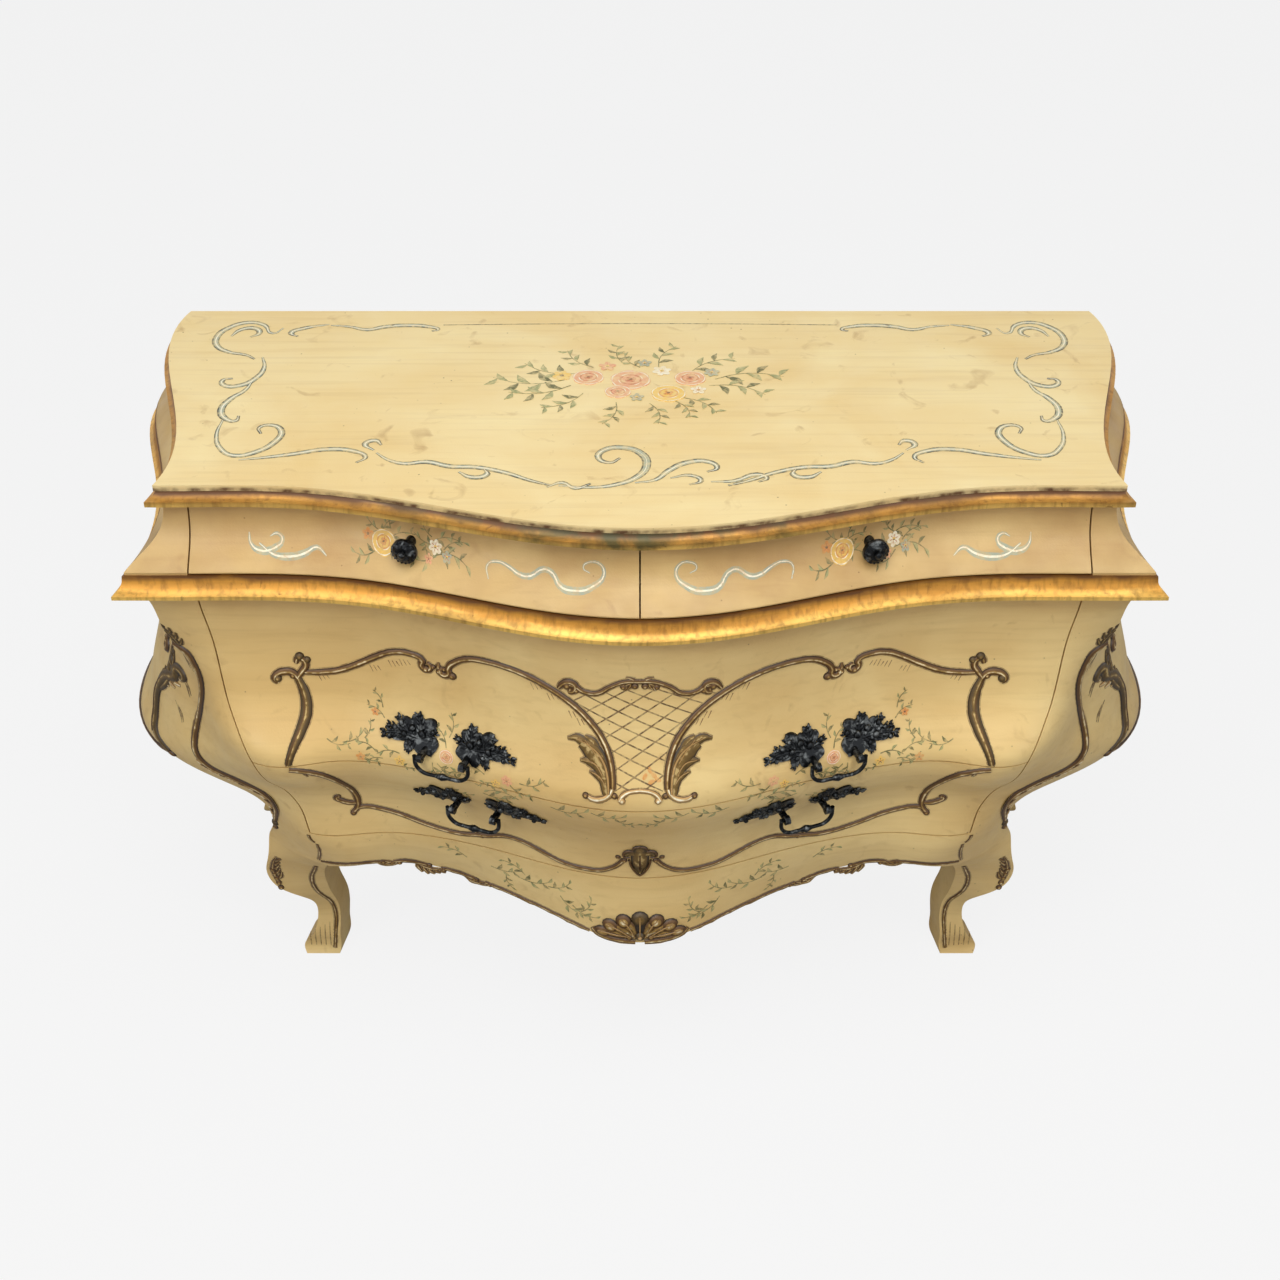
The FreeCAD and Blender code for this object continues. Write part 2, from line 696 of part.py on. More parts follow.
def rear_leg_corners(z):
    """Rear leg's section at a height, flush with the back."""
    levels = list(reversed(REAR_LEG))
    heights = [size(f"{level}_height") for level in levels]
    outer, inner, front = (fair(heights, [size(f"{level}_{key}") for level in levels], z)
                           for key in REAR_LEG_KEYS[1:])
    return [Vector(outer, BACK - front, z), Vector(inner, BACK - front, z),
            Vector(inner, BACK, z), Vector(outer, BACK, z)]


LEG_SECTIONS = 10


def leg_solid(name, corners, top):
    """Cabriole leg from the floor to a height."""
    heights = [top * step / LEG_SECTIONS for step in range(LEG_SECTIONS + 1)]
    return feature(name, section_loft(heights, corners))


def build_carcass():
    """Stiles with their legs, sides, aprons and back."""
    region = stile_region("stile_region", size("apron_knee_height"), size("waist_height"))
    corner = combine("Common", "stile_corner", BODY, region)
    leg = leg_solid("front_leg", leg_corners, size("leg_top_height"))
    stile = keep(combine("Fuse", "front_stile_right", corner, leg))
    keep(mirrored("front_stile_left", stile))

    post_box = bar("rear_post_bounds",
                   cells("rear_post_half", "back_plane - rear_post_depth", "side_back_height"),
                   cells("overall_height", "back_plane", "waist_height"))
    rear = combine("Common", "rear_post_piece", BODY, post_box)
    rear_leg = leg_solid("rear_leg", rear_leg_corners, size("rear_top_height"))
    post = keep(combine("Fuse", "rear_post_right", rear, rear_leg))
    keep(mirrored("rear_post_left", post))

    panel_box = bar("side_panel_bounds",
                    cells("lower_box_half", "back_plane - stile_return", "side_panel_bottom"),
                    cells("overall_height", "back_plane - rear_post_depth", "waist_height"))
    panel = combine("Common", "side_panel_blank", BODY, panel_box)
    panel = keep(combine("Cut", "side_panel_right", panel, UPPER_ROOM))
    keep(mirrored("side_panel_left", panel))
    skirt = combine("Common", "side_apron_blank", BODY, side_edge("side_apron_region"))
    skirt = combine("Cut", "side_apron_wall", skirt, APRON_ROOM)
    skirt = keep(combine("Cut", "side_apron_right", skirt, joined("side_apron_legs",
                                                                  [leg, rear_leg])))
    keep(mirrored("side_apron_left", skirt))

    apron = combine("Common", "front_apron_blank", BODY, apron_region("apron_region"))
    for word, tool in (("room", APRON_ROOM), ("right", region), ("left", mirrored("stile_region_left",
                                                                                 region)),
                       ("leg_right", leg), ("leg_left", mirrored("front_leg_left", leg))):
        apron = combine("Cut", "front_apron" if word == "leg_left" else f"apron_past_{word}",
                        apron, tool)
    keep(apron)
    keep(bar("back_panel",
             cells("0 - rear_post_half", "back_plane - back_thickness", "back_bottom"),
             cells("rear_post_half", "back_plane", "overall_height - top_thickness")))
    return stile, post


def build_boards(stile, post):
    """Dust boards between the drawers, and the guides that keep the drawers straight."""
    corner = bar("board_corner_bounds",
                 cells("board_corner", "0 - overall_height", "0"),
                 cells("overall_height", "back_plane - stile_return", "overall_height"))
    right = [stile, post, corner]
    taken = joined("board_corners", right + [mirrored(f"{tool.Name}_twin", tool) for tool in right])
    board_room = slab("board_room", body_plan(size("waist_height")), 0.0, size("overall_height"),
                      size("front_wall") + size("board_setback"), BEHIND,
                      size("side_wall") + size("board_ease"))
    for name, room, underside in (
            ("middle_board", board_room, "upper_bottom - 0.5 * running_gap"),
            ("bottom_board", APRON_ROOM, "bottom_board_top - board_thickness")):
        layer = bar(f"{name}_bounds",
                    cells("0 - overall_height", "0 - overall_height", underside),
                    cells("overall_height", "back_plane - back_thickness", f"{name}_top"))
        blank = combine("Common", f"{name}_blank", room, layer)
        keep(combine("Cut", name, blank, taken))
    guides = []
    stations = (
        ("frieze_outer", "frieze_box_outer + slide_gap", "guide_width", "waist_top"),
        ("frieze_inner", "divider_half", "frieze_box_inner - slide_gap - divider_half",
         "waist_top"),
        ("upper", "upper_box_half + slide_gap", "guide_width", "middle_board_top"),
        ("lower", "lower_box_half + slide_gap", "guide_width", "bottom_board_top"),
    )
    for name, near, width, floor in stations:
        right = bar(f"guide_{name}",
                    cells(near, "back_plane - stile_return + board_setback", floor),
                    cells(f"{near} + {width}", "back_plane - back_thickness",
                          f"{floor} + guide_height"))
        guides += [right, mirrored(f"guide_{name}_left", right)]
    keep(grouped("drawer_guides", guides))


# ---------------------------------------------------------------------------------------
# Drawers
# ---------------------------------------------------------------------------------------
def drawer_box(name, inner, low_x, high_x, floor, height):
    """Sides, back and bottom of a drawer, scribed to the inside of its curved front."""
    rear = "back_plane - back_thickness - drawer_back_room"
    bottom_low = f"{floor} + slide_gap + drawer_bottom"
    bottom_high = f"{bottom_low} + drawer_bottom"
    top = f"{floor} + slide_gap + {height}"
    parts = (
        ("side_left", low_x, f"{low_x} + drawer_side", f"{floor} + slide_gap", top, None),
        ("side_right", f"{high_x} - drawer_side", high_x, f"{floor} + slide_gap", top, None),
        ("bottom", f"{low_x} + drawer_side", f"{high_x} - drawer_side", bottom_low, bottom_high,
         None),
        ("back", f"{low_x} + drawer_side", f"{high_x} - drawer_side", bottom_high, top,
         f"{rear} - drawer_back"),
    )
    for part, start, end, low, high, near in parts:
        first = near or "0 - overall_height"
        blank = bar(f"{name}_{part}_blank", cells(start, first, low), cells(end, rear, high))
        keep(combine("Common", f"{name}_{part}", blank, inner))


def drawer_front(name, low, high, room, drill):
    """Swelling front of one of the two wide drawers, drilled for its handles."""
    blank = combine("Common", f"{name}_blank", BODY, drawer_region(f"{name}_region", low, high))
    plain = combine("Cut", f"{name}_plain", blank, room)
    keep(combine("Cut", name, plain, drill))


def build_drawers(upper_drill, lower_drill, knob_drill):
    """All four drawers."""
    gap = size("running_gap")
    drawer_front("upper_drawer_front", size("upper_bottom"), size("waist_height") - gap,
                 UPPER_ROOM, upper_drill)
    drawer_box("upper_drawer", UPPER_ROOM, "0 - upper_box_half", "upper_box_half",
               "middle_board_top", "upper_box_height")
    drawer_front("lower_drawer_front", size("lower_bottom"), size("upper_bottom") - gap,
                 LOWER_ROOM, lower_drill)
    drawer_box("lower_drawer", LOWER_ROOM, "0 - lower_box_half", "lower_box_half",
               "bottom_board_top", "lower_box_height")
    front_box = bar("frieze_front_bounds",
                    cells("0.5 * running_gap", "0 - overall_height", "waist_top + running_gap"),
                    cells("frieze_joint_half - running_gap", "back_plane - stile_return",
                          "overall_height - top_thickness - running_gap"))
    blank = combine("Common", "frieze_front_blank", FRIEZE, front_box)
    plain = combine("Cut", "frieze_front_plain", blank, FRIEZE_FRONT_ROOM)
    front = keep(combine("Cut", "frieze_right_front", plain, knob_drill))
    keep(mirrored("frieze_left_front", front))
    drawer_box("frieze_right", FRIEZE_FRONT_ROOM, "frieze_box_inner", "frieze_box_outer",
               "waist_top", "frieze_box_height")
    drawer_box("frieze_left", FRIEZE_FRONT_ROOM, "0 - frieze_box_outer",
               "0 - frieze_box_inner", "waist_top", "frieze_box_height")


# ---------------------------------------------------------------------------------------
# Knobs and swinging handles
# ---------------------------------------------------------------------------------------
FORWARD = FreeCAD.Rotation(Vector(1, 0, 0), 90)  # turns a primitive's axis to face the front
SIDEWAYS = FreeCAD.Rotation(Vector(0, 1, 0), 90)  # turns a primitive's axis to the right


def curve_at(points, x):
    """Point and direction of a front's curve at a half width, right of the middle."""
    stations = [-run for run in reversed(FRONT_RUNS[1:])] + list(FRONT_RUNS)
    curve = spline(points, stations).Curve
    low, high = -1.0, 1.0
    while high - low > 1e-6:
        middle = 0.5 * (low + high)
        if curve.value(middle).x < x:
            low = middle
        else:
            high = middle
    return curve.value(low), curve.tangent(low)[0]


def spot_on_front(plan, z, x):
    """Placement on a front at a height and half width, turned to face along its normal."""
    point, along = curve_at(serpentine(plan, z), x)
    yaw = math.degrees(math.atan2(along.y, along.x))
    return FreeCAD.Placement(point, FreeCAD.Rotation(Vector(0, 0, 1), yaw))


def rod(name, radius, length, rotation, start=("0", "0", "0")):
    """Round bar of expressions, from a start point along a turned axis."""
    obj = DOC.addObject("Part::Cylinder", name)
    obj.setExpression("Radius", cell(radius))
    obj.setExpression("Height", cell(length))
    obj.Placement = FreeCAD.Placement(Vector(), rotation)
    for axis, place in zip("xyz", start):
        obj.setExpression(f"Placement.Base.{axis}", cell(place))
    return obj


def placed(name, shapes, spot):
    """Overlapping shapes made in a handle's own frame, joined and set on the front."""
    obj = joined(name, shapes) if len(shapes) > 1 else grouped(name, shapes)
    obj.Placement = spot
    return obj


def cone(name, near, far, length, start):
    """Turned cone facing the front: radii at its near and far end, from a depth."""
    obj = DOC.addObject("Part::Cone", name)
    for prop, text in (("Radius1", near), ("Radius2", far), ("Height", length)):
        obj.setExpression(prop, cell(text))
    obj.Placement = FreeCAD.Placement(Vector(), FORWARD)
    obj.setExpression("Placement.Base.y", cell(start))
    return obj


def build_knobs():
    """Turned knobs of the frieze drawers, let in on a tenon; gives back the drill for them."""
    spot = spot_on_front(top_plan(size("frieze_cove")), size("waist_top") + size("knob_height"),
                         size("knob_half"))
    flare = "knob_stand - knob_rim"
    shapes = [
        rod("knob_stud_rod", "stud_radius", "frieze_front_wall + stud_past", FORWARD,
            ("0", "frieze_front_wall + stud_past", "0")),
        rod("knob_tenon", "knob_neck", f"knob_let_in + {flare}", FORWARD, ("0", "knob_let_in", "0")),
        cone("knob_flare", "knob_neck", "knob_radius", "knob_rim", f"0 - ( {flare} )"),
        rod("knob_ring", "knob_radius", "knob_rim", FORWARD, ("0", "0 - knob_stand", "0")),
        cone("knob_dome", "knob_radius", "knob_crown", "knob_rim", "0 - knob_stand - knob_rim"),
        rod("knob_boss", "knob_boss", "knob_boss_reach", FORWARD, ("0", "0 - knob_stand", "0")),
    ]
    knob = keep(placed("frieze_right_knob", shapes, spot))
    keep(mirrored("frieze_left_knob", knob))
    room = "stud_room"
    return placed("knob_drill", [
        rod("knob_stud_drill", f"stud_radius + {room}", "overall_height", FORWARD,
            ("0", "0.5 * overall_height", "0")),
        rod("knob_tenon_drill", f"knob_neck + {room}", "knob_let_in + knob_stand", FORWARD,
            ("0", "knob_let_in", "0"))], spot)


def leaf_outline(side):
    """Lobed foliate outline of one handle plate, in the handle's own frame."""
    middle_x = side * (size("handle_half_span") + size("plate_shift"))
    points = []
    for step in range(2 * PLATE_LOBES):
        turn = PLATE_TURN + math.pi * step / PLATE_LOBES
        swell = 1 + (size("plate_lobe") if step % 2 else -size("plate_lobe"))
        points.append(Vector(middle_x + side * size("plate_half") * swell * math.cos(turn), 0,
                             size("plate_lift") + size("plate_rise") * swell * math.sin(turn)))
    points.append(points[0])
    arcs = [Part.Arc(*points[step:step + 3]).toShape() for step in range(0, 2 * PLATE_LOBES, 2)]
    return Part.Wire(arcs)


PLATE_LOBES = 5
PLATE_TURN = math.radians(29)  # turns the lobes so that one covers the post
PLATE_REACH = 40.0  # how far a plate's outline is carried before and behind the face


def build_handles(name, half, height, room_plan, room_walls, skin):
    """Plates with posts and studs, nuts and bails; gives back what drills the front."""
    z = size(height)
    spot = spot_on_front(body_plan(z), z, size(half))
    wall, side_wall = (size(alias) for alias in room_walls)
    behind = curve_at(serpentine(room_plan, z, wall, side_wall), size(half))[0]
    depth = (behind.y - spot.Base.y) * math.cos(spot.Rotation.Angle)
    leaves, posts, studs, drills, nuts = [], [], [], [], []
    for side, word in ((-1, "inner"), (1, "outer")):
        label = f"{name}_{word}"
        face = Part.Face(leaf_outline(side))
        face.translate(Vector(0, PLATE_REACH, 0))
        leaves.append(feature(f"{label}_leaf", face.extrude(Vector(0, -2 * PLATE_REACH, 0))))
        x = "handle_half_span" if side > 0 else "( 0 - handle_half_span )"
        post = rod(f"{label}_post", "post_radius", "handle_stand + post_radius", FORWARD,
                   (x, "post_radius", "0"))
        eye = rod(f"{label}_eye", "eye_radius", "eye_length", SIDEWAYS,
                  (f"{x} - 0.5 * eye_length", "0 - handle_stand", "0"))
        posts.append(joined(f"{label}_post_and_eye", [post, eye]))
        studs.append(rod(f"{label}_stud", "stud_radius", f"{depth} + stud_past + post_radius",
                         FORWARD, (x, f"{depth} + stud_past", "0")))
        drills.append(rod(f"{label}_drill", "stud_radius + stud_room",
                          f"{depth} + stud_past + stud_past", FORWARD,
                          (x, f"{depth} + stud_past", "0")))
        drills.append(rod(f"{label}_seat_drill", "nut_radius + nut_room", "nut_height + nut_seat",
                          FORWARD, (x, f"{depth} + nut_height", "0")))
        nut = rod(f"{label}_nut_blank", "nut_radius", "nut_height", FORWARD,
                  (x, f"{depth} - nut_seat + nut_height", "0"))
        nuts.append(combine("Cut", f"{label}_nut", nut, rod(
            f"{label}_nut_hole", "stud_radius + stud_room", "overall_height", FORWARD,
            (x, "0.5 * overall_height", "0"))))
    leaf_pair = grouped(f"{name}_leaves", leaves)
    leaf_pair.Placement = spot
    plates = combine("Common", f"{name}_plate_pair", leaf_pair, skin)
    post_pair = grouped(f"{name}_posts", posts)
    post_pair.Placement = spot
    outside = combine("Cut", f"{name}_outside",
                      combine("Fuse", f"{name}_plates_and_posts", plates, post_pair), BODY)
    stud_pair = grouped(f"{name}_studs", studs)
    stud_pair.Placement = spot
    pin_hole = placed(f"{name}_pin_hole", [
        rod(f"{name}_pin_hole_rod", "pin_radius + pin_room", "overall_height", SIDEWAYS,
            ("0 - 0.5 * overall_height", "0 - handle_stand", "0"))], spot)
    solid = combine("Fuse", f"{name}_solid", outside, stud_pair)
    plates = keep(combine("Cut", f"{name}_right_plates", solid, pin_hole))
    keep(mirrored(f"{name}_left_plates", plates))
    bail = keep(placed(f"{name}_right_bail", bail_shapes(name), spot))
    keep(mirrored(f"{name}_left_bail", bail))
    drill = placed(f"{name}_drills", drills, spot)
    nut_pair = grouped(f"{name}_nut_pair", nuts)
    nut_pair.Placement = spot
    keep(grouped(f"{name}_drawer_nuts", [nut_pair, mirrored(f"{name}_left_nuts", nut_pair)]))
    return joined(f"{name}_all_drills", [drill, mirrored(f"{name}_left_drills", drill)])


def bail_shapes(name):
    """Swinging bail in its handle's own frame, hanging down: pins, arms, bends and grip."""
    arm = "handle_half_span + bail_start"
    bend = "bail_bend"
    shapes = []
    for side, sign, pin in (("left", "0 - ", f"0 - {arm}".replace("+", "-")),
                            ("right", "", f"{arm} - pin_length")):
        shapes.append(rod(f"{name}_pin_{side}", "pin_radius", "pin_length", SIDEWAYS,
                          (pin, "0 - handle_stand", "0")))
        shapes.append(rod(f"{name}_arm_{side}", "bail_wire", f"bail_drop - {bend} + bail_wire",
                          FreeCAD.Rotation(), (f"{sign}( {arm} )", "0 - handle_stand",
                                               f"{bend} - bail_drop")))
        turn = DOC.addObject("Part::Torus", f"{name}_bend_{side}")
        turn.Angle3 = 90
        turn.setExpression("Radius1", cell(bend))
        turn.setExpression("Radius2", cell("bail_wire"))
        first = FreeCAD.Rotation(Vector(1, 0, 0), 90)
        start = 180 if side == "left" else 270
        turn.Placement = FreeCAD.Placement(
            Vector(), first.multiply(FreeCAD.Rotation(Vector(0, 0, 1), start)))
        turn.setExpression("Placement.Base.x", cell(f"{sign}( {arm} - {bend} )"))
        turn.setExpression("Placement.Base.y", cell("0 - handle_stand"))
        turn.setExpression("Placement.Base.z", cell(f"{bend} - bail_drop"))
        shapes.append(turn)
    shapes.append(rod(f"{name}_grip", "bail_wire", f"2 * ( {arm} - {bend} )", SIDEWAYS,
                      (f"{bend} - ( {arm} )", "0 - handle_stand", "0 - bail_drop")))
    for side, near, far, start in (("left", "bail_wire", "bail_knot", "0 - bail_knot_half"),
                                   ("right", "bail_knot", "bail_wire", "0")):
        swell = DOC.addObject("Part::Cone", f"{name}_knot_{side}")
        for prop, text in (("Radius1", near), ("Radius2", far), ("Height", "bail_knot_half")):
            swell.setExpression(prop, cell(text))
        swell.Placement = FreeCAD.Placement(Vector(), SIDEWAYS)
        swell.setExpression("Placement.Base.x", cell(start))
        swell.setExpression("Placement.Base.y", cell("0 - handle_stand"))
        swell.setExpression("Placement.Base.z", cell("0 - bail_drop"))
        shapes.append(swell)
    return shapes


# ---------------------------------------------------------------------------------------
# Carved shell
# ---------------------------------------------------------------------------------------
SHELL_LOBES = 7


def build_shell():
    """Scalloped shell at the middle of the apron's edge, its back cut to the apron."""
    half, foot, rise = size("shell_half"), size("shell_foot"), size("shell_rise")
    face = BACK - size("shell_face")
    tips = []
    for lobe in range(SHELL_LOBES + 1):
        turn = math.pi * lobe / SHELL_LOBES
        tips.append(Vector(half * math.cos(turn), face, foot + rise * math.sin(turn)))
    edges = []
    for start, end in zip(tips, tips[1:]):
        middle = (start + end) * 0.5
        out = Vector(middle.x, 0, (middle.z - foot) * (half / rise) ** 2)
        out.normalize()
        crest = middle + out * (0.22 * (end - start).Length)
        edges.append(Part.Arc(start, crest, end).toShape())
    edges.append(Part.makeLine(tips[-1], tips[0]))
    fan = Part.Face(Part.Wire(edges)).extrude(Vector(0, size("shell_face") - BACK, 0))
    keep(combine("Cut", "apron_shell", feature("shell_blank", fan), BODY))


# ---------------------------------------------------------------------------------------
# The chest
# ---------------------------------------------------------------------------------------
build_top()
build_waist()
build_frieze()
STILE, POST = build_carcass()
build_boards(STILE, POST)
SKIN = feature("plate_skin", BODY.Shape.translated(Vector(0, -size("plate_relief"), 0)))
UPPER_DRILLS = build_handles(
    "upper", "upper_handle_half", "upper_handle_height", body_plan(size("waist_height")),
    ("front_wall", "side_wall"), SKIN)
LOWER_DRILLS = build_handles(
    "lower", "lower_handle_half", "lower_handle_height", body_plan(size("apron_height")),
    ("front_wall", "side_apron_wall"), SKIN)
build_drawers(UPPER_DRILLS, LOWER_DRILLS, build_knobs())
build_shell()


def export_parts():
    """Recompute, check every object and write each piece to its own STEP file."""
    DOC.recompute()
    failed = [obj.Label for obj in DOC.Objects if {"Invalid", "Error"} & set(obj.State)]
    if failed:
        raise RuntimeError(f"objects left failed: {failed}")
    os.makedirs("parts", exist_ok=True)
    for obj in NODES:
        shape = obj.Shape
        if shape.isNull() or not shape.isValid() or not shape.Solids:
            raise RuntimeError(f"{obj.Label} has no valid solid")
        shape.exportStep(f"parts/{obj.Label}.step")
        print(f"{obj.Label}: {len(shape.Solids)} solid(s), {shape.Volume / 1000:.1f} cm3")


export_parts()
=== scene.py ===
"""Painted bombe chest: the looks of every piece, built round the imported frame.

Metres. X runs to the right as seen from the front, Y to the flat back, Z up.
Ornament is drawn flat, in millimetres on the face that carries it, and then laid on that face.
"""

import json
import logging
import math
from dataclasses import dataclass, field
from enum import Enum, IntEnum
from typing import Optional, Sequence

import bmesh
import bpy
import numpy as np
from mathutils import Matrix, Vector
from mathutils.bvhtree import BVHTree

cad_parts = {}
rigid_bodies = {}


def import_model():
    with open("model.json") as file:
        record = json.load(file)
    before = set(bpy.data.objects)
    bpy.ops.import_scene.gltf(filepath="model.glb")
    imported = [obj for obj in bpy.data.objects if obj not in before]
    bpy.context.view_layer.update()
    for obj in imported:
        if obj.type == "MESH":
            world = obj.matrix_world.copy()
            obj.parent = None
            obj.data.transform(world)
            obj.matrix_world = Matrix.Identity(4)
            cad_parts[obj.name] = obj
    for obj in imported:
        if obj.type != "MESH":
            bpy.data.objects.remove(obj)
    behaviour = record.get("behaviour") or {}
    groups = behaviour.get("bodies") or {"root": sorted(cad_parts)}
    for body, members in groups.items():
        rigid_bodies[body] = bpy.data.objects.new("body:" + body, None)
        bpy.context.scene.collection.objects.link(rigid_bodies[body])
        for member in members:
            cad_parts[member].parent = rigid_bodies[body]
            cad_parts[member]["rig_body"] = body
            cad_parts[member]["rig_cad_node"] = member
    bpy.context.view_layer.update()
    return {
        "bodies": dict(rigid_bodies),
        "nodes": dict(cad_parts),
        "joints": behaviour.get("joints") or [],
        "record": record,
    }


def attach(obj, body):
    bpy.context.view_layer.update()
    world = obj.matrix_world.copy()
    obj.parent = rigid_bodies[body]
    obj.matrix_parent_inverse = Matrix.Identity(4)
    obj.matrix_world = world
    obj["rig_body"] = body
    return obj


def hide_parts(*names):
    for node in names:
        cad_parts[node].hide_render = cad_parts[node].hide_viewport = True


LOG = logging.getLogger("chest")
MM = 0.001
COAT_STEP = 0.002
ACROSS, BACK, UP = Vector((1, 0, 0)), Vector((0, 1, 0)), Vector((0, 0, 1))
FRONT_FACES = ("upper_drawer_front", "lower_drawer_front", "front_apron", "front_stile_left",
               "front_stile_right", "frieze_left_front", "frieze_right_front")
Pair = tuple[float, float]
Spot = tuple[float, float, float]
Color = tuple[float, float, float, float]
Path = Sequence[Pair]
Socket = bpy.types.NodeSocket


def tone(red: int, green: int, blue: int) -> Color:
    """Linear colour of an 8-bit display colour.

    Args:
        red: Red, 0 to 255.
        green: Green, 0 to 255.
        blue: Blue, 0 to 255.

    Returns:
        Linear red, green, blue and an alpha of one.
    """
    def linear(value: int) -> float:
        """Linear value of one channel."""
        share = value / 255
        return share / 12.92 if share <= 0.04045 else ((share + 0.055) / 1.055) ** 2.4

    return linear(red), linear(green), linear(blue), 1.0


# ---------- Node sheets ----------
class Recipe:
    """Nodes of a material or of the surroundings, added one by one."""

    COLOR_MIX_INPUTS = (0, 6, 7)
    COLOR_MIX_OUTPUT = 2

    def __init__(self, owner: bpy.types.Material | bpy.types.World) -> None:
        """Start with no nodes.

        Args:
            owner: The material or world that gets them.
        """
        self.owner = owner
        owner.use_nodes = True
        self.tree = owner.node_tree
        self.tree.nodes.clear()
        self._coords: Optional[Socket] = None

    def add(self, kind: str, **values: object) -> bpy.types.Node:
        """Add a node and set its properties.

        Args:
            kind: The node's type without its ShaderNode prefix.
            values: Properties of the node.

        Returns:
            The node.
        """
        node = self.tree.nodes.new(f"ShaderNode{kind}")
        for key, value in values.items():
            setattr(node, key, value)
        return node

    def feed(self, socket: Socket, value: object) -> None:
        """Link a socket, or set it where the value is plain.

        Args:
            socket: The socket that is fed.
            value: Another node's socket, or a plain value.
        """
        if isinstance(value, bpy.types.NodeSocket):
            self.tree.links.new(value, socket)
        else:
            socket.default_value = value

    def coords(self) -> Socket:
        """Object coordinates, in metres.

        Returns:
            The coordinates, from one node for the whole sheet.
        """
        if self._coords is None:
            self._coords = self.add("TexCoord").outputs["Object"]
        return self._coords

    def stretched(self, x: float, y: float, z: float) -> Socket:
        """Object coordinates scaled along each axis.

        Args:
            x: Scale along X.
            y: Scale along Y.
            z: Scale along Z.

        Returns:
            The coordinates.
        """
        node = self.add("Mapping")
        self.feed(node.inputs["Vector"], self.coords())
        node.inputs["Scale"].default_value = (x, y, z)
        return node.outputs["Vector"]

    def noise(self, scale: float, detail: float = 4.0, vector: Optional[Socket] = None,
              distortion: float = 0.0) -> Socket:
        """Cloudy noise.

        Args:
            scale: Cells per metre.
            detail: Octaves.
            vector: Coordinates, plain Object ones if left out.
            distortion: How far the cells are bent.

        Returns:
            The noise's value, around one half.
        """
        node = self.add("TexNoise")
        self.feed(node.inputs["Vector"], vector or self.coords())
        node.inputs["Scale"].default_value = scale
        node.inputs["Detail"].default_value = detail
        node.inputs["Distortion"].default_value = distortion
        return node.outputs["Fac"]

    def cells(self, scale: float) -> Socket:
        """Distance to the nearest of scattered points.

        Args:
            scale: Points per metre.

        Returns:
            The distance, as a share of the points' spacing.
        """
        node = self.add("TexVoronoi")
        self.feed(node.inputs["Vector"], self.coords())
        node.inputs["Scale"].default_value = scale
        return node.outputs["Distance"]

    def ramp(self, value: Socket, *stops: tuple[float, float]) -> Socket:
        """Grey level that follows a value.

        Args:
            value: The value.
            stops: Pairs of a value and the level there.

        Returns:
            The level.
        """
        node = self.add("ValToRGB")
        self.feed(node.inputs["Fac"], value)
        elements = node.color_ramp.elements
        while len(elements) < len(stops):
            elements.new(0.5)
        for element, (place, level) in zip(elements, stops):
            element.position = place
            element.color = (level, level, level, 1.0)
        return node.outputs["Color"]

    def mix(self, share: object, first: object, second: object) -> Socket:
        """Mix of two colours.

        Args:
            share: How much of the second colour.
            first: First colour.
            second: Second colour.

        Returns:
            The mixed colour.
        """
        node = self.add("Mix", data_type="RGBA")
        for number, value in zip(self.COLOR_MIX_INPUTS, (share, first, second)):
            self.feed(node.inputs[number], value)
        return node.outputs[self.COLOR_MIX_OUTPUT]

    def blend(self, share: Socket, first: bpy.types.Node, second: bpy.types.Node) -> Socket:
        """Mix of two shaders.

        Args:
            share: How much of the second shader.
            first: First shader's node.
            second: Second shader's node.

        Returns:
            The mixed shader.
        """
        node = self.add("MixShader")
        for socket, value in zip(node.inputs, (share, first.outputs[0], second.outputs[0])):
            self.feed(socket, value)
        return node.outputs[0]

    def close(self, kind: str, shader: Socket) -> None:
        """Give the finished shader to the owner's surface."""
        self.feed(self.add(kind).inputs["Surface"], shader)

    def math(self, kind: str, first: object, second: object = 0.0, clamp: bool = False) -> Socket:
        """Arithmetic on one or two values.

        Args:
            kind: The operation.
            first: First value.
            second: Second value, where the operation has one.
            clamp: Whether the result is kept between nought and one.

        Returns:
            The result.
        """
        node = self.add("Math", operation=kind, use_clamp=clamp)
        self.feed(node.inputs[0], first)
        self.feed(node.inputs[1], second)
        return node.outputs[0]

    def part(self, axis: str) -> Socket:
        """One axis of the Object coordinates.

        Args:
            axis: The axis, as X, Y or Z.

        Returns:
            Its value.
        """
        node = self.add("SeparateXYZ")
        self.feed(node.inputs[0], self.coords())
        return node.outputs[axis]

    def attribute(self, name: str) -> Socket:
        """A value kept on the mesh."""
        return self.add("Attribute", attribute_name=name).outputs["Fac"]

    def bump(self, height: Socket, depth: float, strength: float = 1.0) -> Socket:
        """Bumps from a height.

        Args:
            height: Value that gives the height.
            depth: Depth of a height of one, in metres.
            strength: How strongly it shows.

        Returns:
            The bumped normal.
        """
        node = self.add("Bump")
        node.inputs["Strength"].default_value = strength
        node.inputs["Distance"].default_value = depth
        self.feed(node.inputs["Height"], height)
        return node.outputs["Normal"]

    def finish(self, color: object, rough: object, normal: Socket,
               metallic: object = 0.0) -> bpy.types.Material:
        """Close the material with a Principled shader.

        Args:
            color: Base colour.
            rough: Roughness.
            normal: Bumped normal.
            metallic: Share of metal.

        Returns:
            The material.
        """
        shader = self.add("BsdfPrincipled")
        self.feed(shader.inputs["Base Color"], color)
        self.feed(shader.inputs["Roughness"], rough)
        self.feed(shader.inputs["Metallic"], metallic)
        self.feed(shader.inputs["Normal"], normal)
        self.close("OutputMaterial", shader.outputs["BSDF"])
        return self.owner


